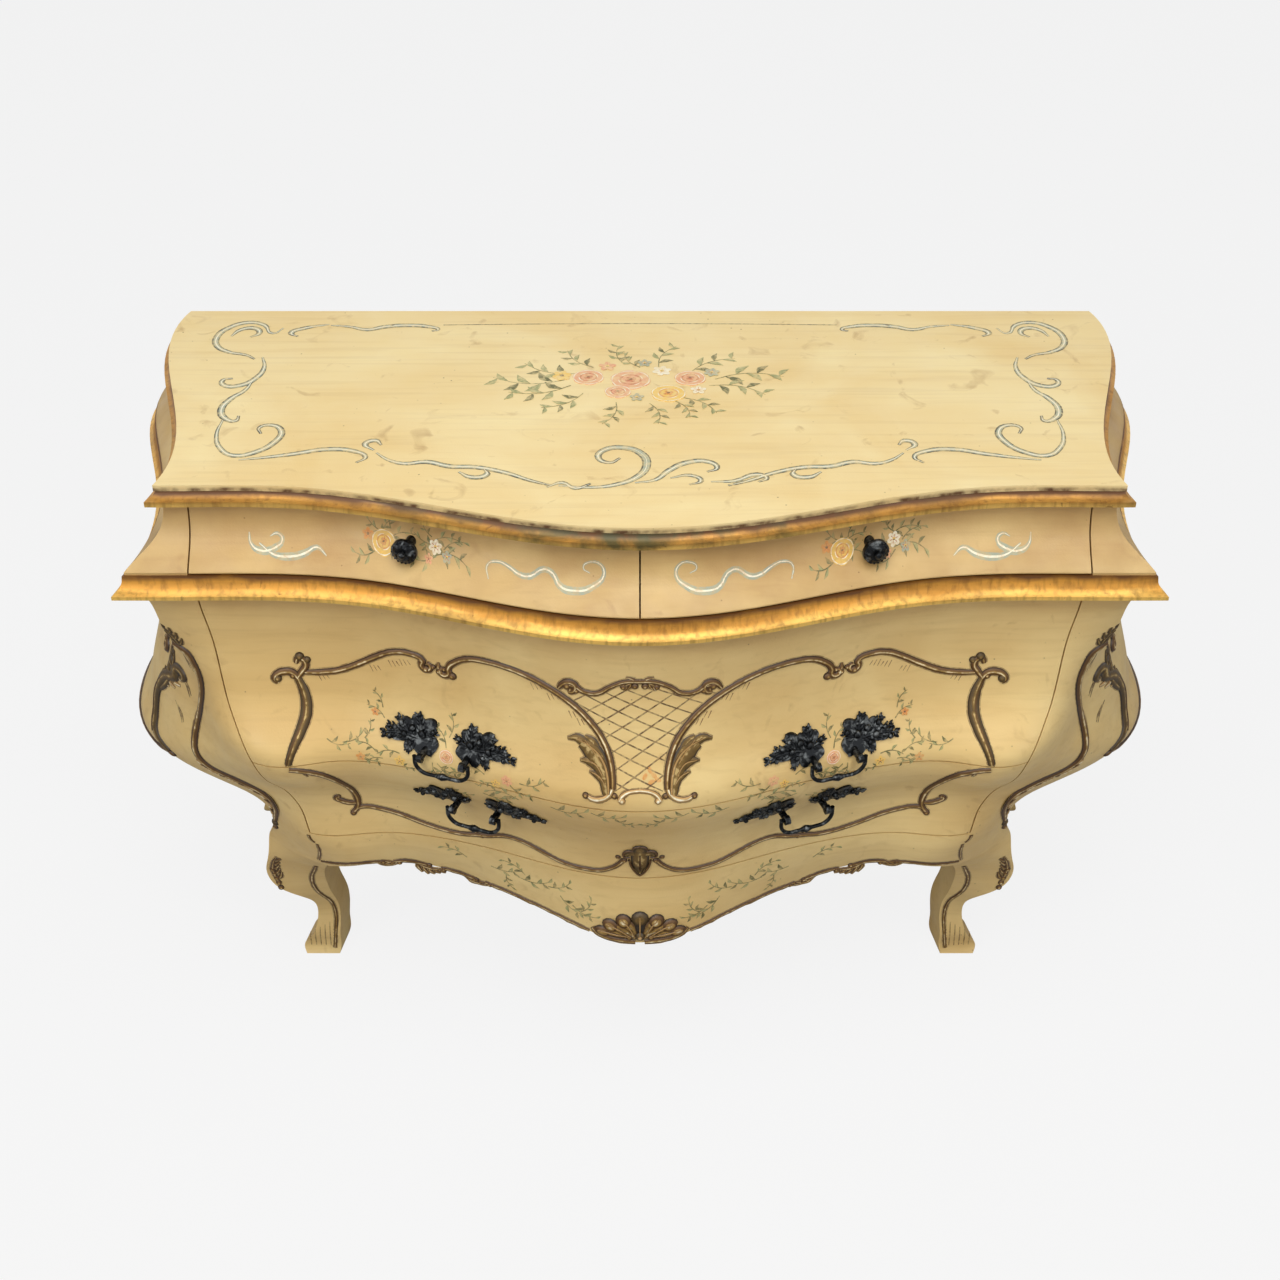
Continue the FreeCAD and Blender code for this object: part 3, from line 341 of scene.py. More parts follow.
# ---------- Finishes ----------
@dataclass(frozen=True)
class AgedPaint:
    """Old cream paint over ochre, crazed, rubbed and specked.

    The edge and the painted shade are pairs of heights, in metres: an edge is bitten at the lower
    one, and painted shade, with some grime, darkens the paint from the lower height up to the upper
    one and stays as dark above it. The back, where no edge is bitten, is given by its Y.
    """

    name: str
    light: Color = tone(236, 212, 152)
    deep: Color = tone(205, 168, 100)
    rubbed: Color = tone(150, 105, 52)
    speck: Color = tone(92, 62, 34)
    wear: float = 0.5
    edge: Optional[Pair] = None
    grime_and_shade: Optional[Pair] = None
    back: float = 0.3
    back_fade: float = 60.0

    def color(self, sheet: Recipe) -> Socket:
        """Colour of the paint.

        Args:
            sheet: The recipe that gets the nodes.

        Returns:
            The colour.
        """
        clouds = sheet.ramp(sheet.noise(4.2, 6.0, distortion=0.6), (0.36, 0.0), (0.68, 1.0))
        brushed = sheet.noise(8.0, 5.0, sheet.stretched(0.4, 2.6, 3.0), 0.5)
        streaks = sheet.noise(26.0, 4.0, sheet.stretched(0.18, 4.0, 4.0), 0.6)
        base = sheet.mix(sheet.math("MULTIPLY", clouds, 0.6), self.light, self.deep)
        base = sheet.mix(sheet.ramp(brushed, (0.35, 0.0), (0.75, 0.36)), base, self.deep)
        base = sheet.mix(sheet.ramp(streaks, (0.5, 0.0), (0.82, 0.16)), base, self.rubbed)
        rub = sheet.ramp(sheet.noise(23.0, 8.0, distortion=1.2), (0.62, 0.0), (0.78, self.wear))
        base = sheet.mix(rub, base, self.rubbed)
        dots = sheet.ramp(sheet.cells(62.0), (0.03, 0.75), (0.085, 0.0))
        where = sheet.ramp(sheet.noise(14.0, 2.0), (0.5, 0.0), (0.62, 1.0))
        base = sheet.mix(sheet.math("MULTIPLY", dots, where), base, self.speck)
        # Painted shade with some grime: the paint darkens from the lower height up to the upper
        # one, and above it.
        if self.grime_and_shade is not None:
            low, high = self.grime_and_shade
            near = sheet.math("DIVIDE", sheet.math("SUBTRACT", sheet.part("Z"), low), high - low,
                              True)
            soft = sheet.ramp(sheet.noise(12.0, 4.0), (0.3, 0.55), (0.7, 0.2))
            base = sheet.mix(sheet.math("MULTIPLY", near, soft), base, self.rubbed)
        if self.edge is None:
            return base
        low, high = self.edge
        near = sheet.math("DIVIDE", sheet.math("SUBTRACT", high, sheet.part("Z")), high - low, True)
        bitten = sheet.ramp(sheet.noise(60.0, 4.0), (0.36, 1.0), (0.62, 0.25))
        ahead = sheet.math("MULTIPLY", sheet.math("SUBTRACT", self.back, sheet.part("Y")),
                           self.back_fade, True)
        share = sheet.math("MULTIPLY", sheet.math("MULTIPLY", near, bitten), ahead)
        return sheet.mix(share, base, self.speck)

    def make(self) -> bpy.types.Material:
        """Make the material.

        Returns:
            The material.
        """
        sheet = Recipe(bpy.data.materials.new(self.name))
        color = self.color(sheet)
        rough = sheet.ramp(sheet.noise(31.0, 5.0), (0.3, 0.36), (0.7, 0.56))
        craze = sheet.math("ADD", sheet.noise(420.0, 3.0), sheet.noise(36.0, 4.0))
        return sheet.finish(color, rough, sheet.bump(craze, 0.00035, 0.55))


@dataclass(frozen=True)
class Brushed:
    """Thin decorator's paint over the aged ground, which shows through it."""

    name: str
    color: Color
    ground: AgedPaint
    cover: float = 0.86

    def make(self) -> bpy.types.Material:
        """Make the material.

        Returns:
            The material.
        """
        sheet = Recipe(bpy.data.materials.new(self.name))
        thin = sheet.noise(160.0, 4.0, distortion=0.8)
        share = sheet.ramp(thin, (0.34, self.cover * 0.45), (0.56, self.cover))
        lighter = sheet.mix(sheet.ramp(sheet.noise(95.0, 3.0), (0.4, 0.0), (0.7, 0.32)),
                            self.color, self.ground.light)
        color = sheet.mix(share, self.ground.color(sheet), lighter)
        return sheet.finish(color, 0.5, sheet.bump(thin, 0.0002, 0.4))


@dataclass(frozen=True)
class Gilding:
    """Worn gilding on a moulding: brown bole and painted shade under the upper edge, gold with a
    painted highlight on the swell.
    """

    name: str
    low: float
    high: float
    gold: Color = tone(206, 146, 56)
    # Pale gold of the painted highlight on the lower part.
    pale: Color = tone(240, 196, 100)
    bole: Color = tone(98, 60, 22)
    verdigris: Color = tone(64, 66, 34)
    stained: float = 0.0
    # Where the bole and painted shade of the upper part begin, as a share of the height.
    bole_and_shade_from: float = 0.72

    def make(self) -> bpy.types.Material:
        """Make the material.

        Returns:
            The material.
        """
        sheet = Recipe(bpy.data.materials.new(self.name))
        span = self.high - self.low
        rise = sheet.math("DIVIDE", sheet.math("SUBTRACT", sheet.part("Z"), self.low), span)
        worn = sheet.noise(26.0, 7.0, sheet.stretched(0.5, 0.5, 1.6), 1.0)
        place = sheet.math("ADD", rise, sheet.math("MULTIPLY", sheet.math("SUBTRACT", worn, 0.5),
                                                   0.5))
        # Painted shade and highlight by height: bole brown grows towards the upper edge and pale
        # gold towards the lower one.
        dark = sheet.ramp(place, (self.bole_and_shade_from, 0.0), (self.bole_and_shade_from + 0.26, 1.0))
        painted_highlight = sheet.ramp(place, (0.1, 1.0), (0.46, 0.0))
        gold = sheet.mix(painted_highlight, self.gold, self.pale)
        tarnish = sheet.ramp(sheet.noise(9.0, 5.0, sheet.stretched(0.6, 0.6, 3.0), 0.8),
                             (0.45, 0.0), (0.7, 0.4))
        color = sheet.mix(dark, sheet.mix(tarnish, gold, self.bole), self.bole)
        dragged = sheet.noise(46.0, 5.0, sheet.stretched(3.2, 3.2, 0.5), 0.4)
        color = sheet.mix(sheet.ramp(dragged, (0.46, 0.0), (0.72, 0.5)), color, self.bole)
        rub = sheet.ramp(sheet.noise(90.0, 5.0, distortion=1.2), (0.66, 0.0), (0.76, 0.75))
        color = sheet.mix(rub, color, self.bole)
        if self.stained:
            middle = sheet.math("ABSOLUTE", sheet.part("X"))
            near = sheet.ramp(middle, (0.05, 1.0), (0.42, 0.0))
            patch = sheet.ramp(sheet.noise(17.0, 6.0, distortion=1.0), (0.44, 0.0), (0.6, 1.0))
            share = sheet.math("MULTIPLY", sheet.math("MULTIPLY", near, patch), self.stained)
            color = sheet.mix(share, color, self.verdigris)
        rough = sheet.ramp(worn, (0.3, 0.30), (0.7, 0.52))
        return sheet.finish(color, rough, sheet.bump(sheet.noise(150.0, 5.0), 0.0006, 0.5),
                            sheet.ramp(dark, (0.0, 0.45), (1.0, 0.2)))


@dataclass(frozen=True)
class CarvedGilt:
    """Carved wood with dark glaze in the hollows, rubbed gold on the ridges and a painted highlight
    along their crests.
    """

    name: str
    hollow: Color = tone(40, 24, 10)
    brown: Color = tone(92, 62, 26)
    gold: Color = tone(176, 140, 76)
    # Near-white of the painted highlight along the ridges' crests.
    ridge_highlight: Color = tone(246, 232, 192)
    start: float = 0.30

    def make(self) -> bpy.types.Material:
        """Make the material.

        Returns:
            The material.
        """
        sheet = Recipe(bpy.data.materials.new(self.name))
        rise = sheet.attribute("relief")
        worn = sheet.noise(85.0, 6.0, distortion=0.8)
        level = sheet.math("ADD", rise, sheet.math("MULTIPLY", sheet.math("SUBTRACT", worn, 0.5),
                                                   0.24))
        color = sheet.mix(sheet.ramp(level, (self.start, 0.0), (0.74, 1.0)), self.hollow,
                          self.brown)
        color = sheet.mix(sheet.ramp(level, (0.88, 0.0), (0.97, 1.0)), color, self.gold)
        # Painted highlight: near-white along the crest of every ridge.
        color = sheet.mix(sheet.ramp(level, (0.975, 0.0), (1.0, 0.9)), color, self.ridge_highlight)
        shiny = sheet.ramp(level, (0.6, 0.05), (0.98, 0.45))
        return sheet.finish(color, sheet.ramp(worn, (0.3, 0.34), (0.7, 0.55)),
                            sheet.bump(sheet.noise(240.0, 4.0), 0.0005, 0.4), shiny)


@dataclass(frozen=True)
class DarkMetal:
    """Cast metal with a near-black patina and scattered pale grey patches, which are rubbed wear
    and painted highlight.
    """

    name: str
    dark: Color = tone(24, 26, 28)
    # Pale grey of rubbed wear and painted highlight.
    rubbed: Color = tone(138, 142, 142)

    def make(self) -> bpy.types.Material:
        """Make the material.

        Returns:
            The material.
        """
        sheet = Recipe(bpy.data.materials.new(self.name))
        patina = sheet.noise(130.0, 6.0, distortion=0.7)
        # Pale grey patches scattered by noise: rubbed wear and painted highlight.
        color = sheet.mix(sheet.ramp(patina, (0.5, 0.0), (0.78, 0.7)), self.dark, self.rubbed)
        rough = sheet.ramp(patina, (0.3, 0.28), (0.75, 0.5))
        return sheet.finish(color, rough, sheet.bump(sheet.noise(600.0, 3.0), 0.0004, 0.5), 0.85)


@dataclass(frozen=True)
class RawWood:
    """Bare softwood inside the chest, with grain along one axis."""

    name: str
    along: str = "X"
    early: Color = tone(178, 136, 88)
    late: Color = tone(122, 84, 48)

    def make(self) -> bpy.types.Material:
        """Make the material.

        Returns:
            The material.
        """
        sheet = Recipe(bpy.data.materials.new(self.name))
        scale = {"X": (1.0, 16.0, 16.0), "Y": (16.0, 1.0, 16.0), "Z": (16.0, 16.0, 1.0)}
        grain = sheet.noise(3.2, 8.0, sheet.stretched(*scale[self.along]), 1.6)
        fine = sheet.noise(26.0, 5.0, sheet.stretched(*scale[self.along]))
        color = sheet.mix(sheet.ramp(grain, (0.35, 0.0), (0.62, 1.0)), self.early, self.late)
        color = sheet.mix(sheet.ramp(fine, (0.42, 0.0), (0.75, 0.5)), color, self.late)
        return sheet.finish(color, 0.72, sheet.bump(fine, 0.0005, 0.6))


class Ink(Enum):
    """The decorator's paints, by their colours."""

    BLUE = tone(146, 162, 146)
    DARK = tone(54, 58, 50)
    GREEN = tone(132, 142, 92)
    OLIVE = tone(86, 88, 46)
    PINK = tone(226, 156, 122)
    ROSE = tone(188, 84, 62)
    YELLOW = tone(238, 192, 84)
    WHITE = tone(244, 236, 212)
    BROWN = tone(112, 68, 28)
    ORANGE = tone(214, 134, 52)

    @property
    def slot(self) -> int:
        """Place of the paint among a painted piece's materials."""
        return list(Ink).index(self)

    def finish(self, front: bool) -> str:
        """Name of the paint's finish, on the fronts or on the top."""
        return f"ink_front_{self.name.lower()}" if front else f"ink_{self.name.lower()}"


class Gilt(IntEnum):
    """Finishes of a carving, by their places among its materials."""

    GOLD = 0
    GLAZE = 1
    LEAF = 2
    # A paler copy of the carved gilt, which paints highlights.
    HIGHLIGHT = 3


@dataclass
class Finishes:
    """Every material of the chest, made once."""

    # The fronts' paint carries painted shade, with some grime, under the waist moulding and over
    # the frieze above it.
    fronts: AgedPaint = AgedPaint("paint_front", tone(234, 206, 142), tone(204, 164, 96),
                                  wear=0.35, grime_and_shade=(0.69, 0.738))
    # The top's paint is a paler copy of the fronts' cream, and the fronts' a deeper one: painted
    # light, lighter on the top that faces the light.
    tops: AgedPaint = AgedPaint("paint_top_lit", tone(244, 224, 168), tone(226, 190, 120), wear=0.45,
                                edge=(0.8600, 0.8637))
    solid: tuple[Ink, ...] = (Ink.DARK, Ink.OLIVE, Ink.BROWN, Ink.WHITE)
    solid_cover: float = 0.97
    thin_cover: float = 0.84
    made: dict[str, bpy.types.Material] = field(default_factory=dict)

    def __post_init__(self) -> None:
        """Make them all."""
        recipes: list = [
            self.fronts, self.tops,
            # Top moulding: painted shade from halfway up and a softer painted highlight below.
            Gilding("gilt_top", 0.841, 0.857, tone(186, 134, 56), tone(224, 180, 92),
                    stained=0.85, bole_and_shade_from=0.5),
            Gilding("gilt_waist", 0.738, 0.764),
            CarvedGilt("gilt_carving"),
            CarvedGilt("gilt_leaf", tone(38, 26, 12), tone(78, 60, 28), tone(122, 94, 46),
                       tone(196, 168, 110)),
            # Paler copy of the carved gilt, for painted highlights on curls, ribs, gadroons and the
            # shell.
            CarvedGilt("gilt_highlight", tone(66, 40, 16), tone(176, 138, 82), tone(240, 226, 186),
                       tone(255, 250, 232)),
            Brushed("glaze", tone(112, 78, 38), self.fronts, 0.8),
            Brushed("umber", tone(80, 52, 24), self.fronts, 0.97),
            DarkMetal("dark_metal"),
            RawWood("wood_across", "X"), RawWood("wood_deep", "Y"),
        ]
        for ink in Ink:
            cover = self.solid_cover if ink in self.solid else self.thin_cover
            recipes.append(Brushed(ink.finish(False), ink.value, self.tops, cover))
            recipes.append(Brushed(ink.finish(True), ink.value, self.fronts, cover))
        for recipe in recipes:
            self.made[recipe.name] = recipe.make()

    def __getitem__(self, name: str) -> bpy.types.Material:
        """A material by name."""
        return self.made[name]

    def inks(self, front: bool) -> list[bpy.types.Material]:
        """The decorator's paints, in the order of Ink."""
        return [self.made[ink.finish(front)] for ink in Ink]

    def gilts(self) -> list[bpy.types.Material]:
        """The finishes of a carving, in the order of Gilt."""
        return [self.made[name] for name in ("gilt_carving", "glaze", "gilt_leaf", "gilt_highlight")]


# ---------- Working in Blender ----------
def only(*objects: bpy.types.Object) -> None:
    """Select these objects and nothing else.

    Args:
        objects: The objects, the active one first.
    """
    bpy.ops.object.select_all(action="DESELECT")
    for item in objects:
        item.select_set(True)
    bpy.context.view_layer.objects.active = objects[0]


def vertices(item: bpy.types.Object) -> np.ndarray:
    """Places of a mesh's vertices, one row each.

    Args:
        item: The mesh.

    Returns:
        Rows of X, Y and Z.
    """
    places = np.empty(len(item.data.vertices) * 3)
    item.data.vertices.foreach_get("co", places)
    return places.reshape(-1, 3)


def normals(item: bpy.types.Object) -> np.ndarray:
    """Normals of a mesh's vertices, one row each.

    Args:
        item: The mesh.

    Returns:
        Rows of X, Y and Z.
    """
    directions = np.empty(len(item.data.vertices) * 3)
    item.data.vertices.foreach_get("normal", directions)
    return directions.reshape(-1, 3)


def place_vertices(item: bpy.types.Object, places: np.ndarray) -> None:
    """Move a mesh's vertices."""
    item.data.vertices.foreach_set("co", places.ravel())
    item.data.update()


def smooth(item: bpy.types.Object, degrees: float = 35.0) -> None:
    """Shade a mesh smooth, with edges sharper than an angle kept."""
    only(item)
    bpy.ops.object.shade_smooth_by_angle(angle=math.radians(degrees))


def outward(item: bpy.types.Object) -> None:
    """Make a mesh's faces point outwards.

    Args:
        item: The mesh.
    """
    only(item)
    bpy.ops.object.mode_set(mode="EDIT")
    bpy.ops.mesh.select_all(action="SELECT")
    bpy.ops.mesh.normals_make_consistent(inside=False)
    bpy.ops.object.mode_set(mode="OBJECT")


def mirrored_too(item: bpy.types.Object) -> None:
    """Add the same piece on the other side of the middle plane.

    Args:
        item: The piece.
    """
    only(item)
    mirror = item.modifiers.new("mirror", "MIRROR")
    mirror.use_axis[0] = True
    mirror.use_mirror_merge = False
    bpy.ops.object.modifier_apply(modifier=mirror.name)


class Bench:
    """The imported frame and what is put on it."""

    def __init__(self, frame: dict, finishes: Finishes) -> None:
        """Keep the frame.

        Args:
            finishes: The chest's materials.
        """
        self.nodes: dict[str, bpy.types.Object] = frame["nodes"]
        self.finishes = finishes

    def body(self, node: str) -> str:
        """The body that a node moves with."""
        return self.nodes[node]["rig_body"]

    def paint(self, finish: str, *nodes: str) -> None:
        """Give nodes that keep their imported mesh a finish.

        Args:
            finish: The finish.
            nodes: The nodes' names.
        """
        for node in nodes:
            item = self.nodes[node]
            item.data.materials.clear()
            item.data.materials.append(self.finishes[finish])
            LOG.info("%s: packed mesh in %s", node, finish)

    def smooth_copy(self, node: str, finish: str, slot: str,
                    degrees: float = 35.0) -> bpy.types.Object:
        """Smoothly shaded copy of a node, which stands for it.

        Args:
            node: The node.
            finish: The copy's material.
            slot: The record's material slot.
            degrees: Edges sharper than this stay sharp.

        Returns:
            The copy.
        """
        copy = self.nodes[node].copy()
        copy.data = self.nodes[node].data.copy()
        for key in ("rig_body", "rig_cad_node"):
            if key in copy:
                del copy[key]
        copy.parent = None
        copy.name = f"{node}_dressed"
        bpy.context.scene.collection.objects.link(copy)
        copy.data.materials.clear()
        copy.data.materials.append(self.finishes[finish])
        work = bmesh.new()
        work.from_mesh(copy.data)
        bmesh.ops.remove_doubles(work, verts=work.verts, dist=2e-6)
        work.to_mesh(copy.data)
        work.free()
        only(copy)
        bpy.ops.mesh.customdata_custom_splitnormals_clear()
        smooth(copy, degrees)
        return self.seat(copy, self.body(node), slot, node)

    def ground(self, nodes: Sequence[str], across: Vector, up: Vector, low: Pair, high: Pair,
               step: float = 4.0) -> "Ground":
        """Height field of a face that nodes make up, with the arguments of Ground."""
        return Ground([self.nodes[node] for node in nodes], across, up, low, high, step)

    def carving(self, name: str) -> "Drawing":
        """Empty drawing of a carving, with glaze gathered at its foot."""
        return Drawing(name, self.finishes.gilts(), halo=Gilt.GLAZE)

    def seat(self, item: bpy.types.Object, body: str, slot: str,
             *replaced: str) -> bpy.types.Object:
        """Ride a piece on a body, in place of nodes.

        Args:
            item: The piece.
            body: The body that it moves with.
            slot: The record's material slot; not used.
            replaced: Nodes that it stands for.

        Returns:
            The piece.
        """
        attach(item, body)
        if replaced:
            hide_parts(*replaced)
        LOG.info("%s: %d faces on %s", item.name, len(item.data.polygons), body)
        return item


# ---------- Faces that carry ornament ----------
class Ground:
    """Height field of a face, as seen from outside it."""

    DESPIKE = 0.003
    START = 2.0
    MENDS = 14

    def __init__(self, items: Sequence[bpy.types.Object], across: Vector, up: Vector,
                 low: Pair, high: Pair, step: float) -> None:
        """Feel the face on a grid.

        Args:
            items: Meshes that make up the face.
            across: Direction of the flat drawing's first axis.
            up: Direction of its second axis.
            low: Lowest corner of the grid, in millimetres.
            high: Highest corner.
            step: Size of a grid cell.
        """
        self.across, self.up = across.normalized(), up.normalized()
        self.inward = -self.across.cross(self.up)
        self.low = np.array(low) * MM
        self.step = step * MM
        trees = [self._tree(item) for item in items]
        columns = int((high[0] - low[0]) / step) + 1
        rows = int((high[1] - low[1]) / step) + 1
        self.depth = np.full((columns, rows), np.nan)
        for column in range(columns):
            for row in range(rows):
                start = (self.across * (self.low[0] + column * self.step)
                         + self.up * (self.low[1] + row * self.step) - self.inward * self.START)
                found = [hit[3] for hit in (tree.ray_cast(start, self.inward) for tree in trees)
                         if hit[3] is not None]
                if found:
                    self.depth[column, row] = min(found) - self.START
        self._mend()
        self.lean = np.gradient(self.depth, self.step)

    @staticmethod
    def _tree(item: bpy.types.Object) -> BVHTree:
        """Ray tree of a mesh.

        Args:
            item: The mesh.

        Returns:
            The tree.
        """
        work = bmesh.new()
        work.from_mesh(item.data)
        tree = BVHTree.FromBMesh(work)
        work.free()
        return tree

    def _mend(self) -> None:
        """Fill cells with no face and take out narrow gaps."""
        for _ in range(self.MENDS):
            padded = np.pad(self.depth, 1, constant_values=np.nan)
            around = np.stack([padded[1 + i:padded.shape[0] - 1 + i, 1 + j:padded.shape[1] - 1 + j]
                               for i in (-1, 0, 1) for j in (-1, 0, 1) if i or j])
            with np.errstate(all="ignore"):
                middle = np.nanmedian(around, axis=0)
            gaps = np.isnan(self.depth) | (self.depth - middle > self.DESPIKE)
            gaps &= ~np.isnan(middle)
            self.depth[gaps] = middle[gaps]
        self.depth[np.isnan(self.depth)] = 0.0

    def _read(self, field_values: np.ndarray, places: np.ndarray) -> np.ndarray:
        """Grid values at places.

        Args:
            field_values: One value for each grid point.
            places: Rows of two coordinates, in metres.

        Returns:
            The value at each place.
        """
        at = (places - self.low) / self.step
        limit = np.array(field_values.shape) - 1.001
        at = np.clip(at, 0, limit)
        cell = at.astype(int)
        share = at - cell
        i, j, s, r = cell[:, 0], cell[:, 1], share[:, 0], share[:, 1]
        return (field_values[i, j] * (1 - s) * (1 - r) + field_values[i + 1, j] * s * (1 - r)
                + field_values[i, j + 1] * (1 - s) * r + field_values[i + 1, j + 1] * s * r)

    def lay(self, flat: np.ndarray, lift: float = 0.0) -> np.ndarray:
        """Carry a flat drawing's vertices onto the face.

        Args:
            flat: Rows of two coordinates and a height, in metres.
            lift: Height added everywhere.

        Returns:
            Rows of X, Y and Z.
        """
        across, up, inward = (np.array(v) for v in (self.across, self.up, self.inward))
        depth = self._read(self.depth, flat[:, :2])
        lean_a = self._read(self.lean[0], flat[:, :2])
        lean_u = self._read(self.lean[1], flat[:, :2])
        normal = (-inward[None, :] + lean_a[:, None] * across + lean_u[:, None] * up)
        normal /= np.linalg.norm(normal, axis=1)[:, None]
        base = flat[:, :1] * across + flat[:, 1:2] * up + depth[:, None] * inward
        return base + normal * (flat[:, 2:3] + lift)


# ---------- Flat drawings ----------
def curl(end: Pair, heading: float, size: float, turn: int, steps: int = 7,
         sweep: float = 330.0) -> list[Pair]:
    """Points of a volute that starts at a point and winds inwards.

    Args:
        end: Where the volute starts.
        heading: Direction there, in degrees.
        size: Radius of its first turn.
        turn: 1 to wind to the left, -1 to the right.
        steps: Number of points.
        sweep: Whole angle that it winds through.

    Returns:
        The points after the start.
    """
    points, place, angle = [], Vector(end), math.radians(heading)
    step = math.radians(sweep) / steps
    for number in range(steps):
        radius = size * (1 - 0.72 * number / steps)
        angle += turn * step * 0.5
        place = place + Vector((math.cos(angle), math.sin(angle))) * radius * step
        angle += turn * step * 0.5
        points.append((place.x, place.y))
    return points


def polar(place: Pair, reach: float, degrees: float, squash: float = 1.0) -> Pair:
    """Point at a distance from another, in a direction.

    Args:
        place: The other point.
        reach: The distance.
        degrees: The direction.
        squash: How much the second coordinate is drawn in.

    Returns:
        The point.
    """
    angle = math.radians(degrees)
    return place[0] + reach * math.cos(angle), place[1] + squash * reach * math.sin(angle)


def tapered(count: int, widest: float, start: float = 0.25, end: float = 0.25,
            peak: float = 0.5) -> list[float]:
    """Half widths that swell from one end and thin to the other.

    Args:
        count: How many widths.
        widest: The widest one.
        start: First width, as a share of the widest.
        end: Last width, as a share of it.
        peak: Where the widest lies, as a share of the way.

    Returns:
        The half widths.
    """
    widths = []
    for number in range(count):
        share = number / max(1, count - 1)
        run = share / peak if share < peak else (1 - share) / (1 - peak)
        floor = start if share < peak else end
        widths.append(widest * (floor + (1 - floor) * math.sin(0.5 * math.pi * run)))
    return widths


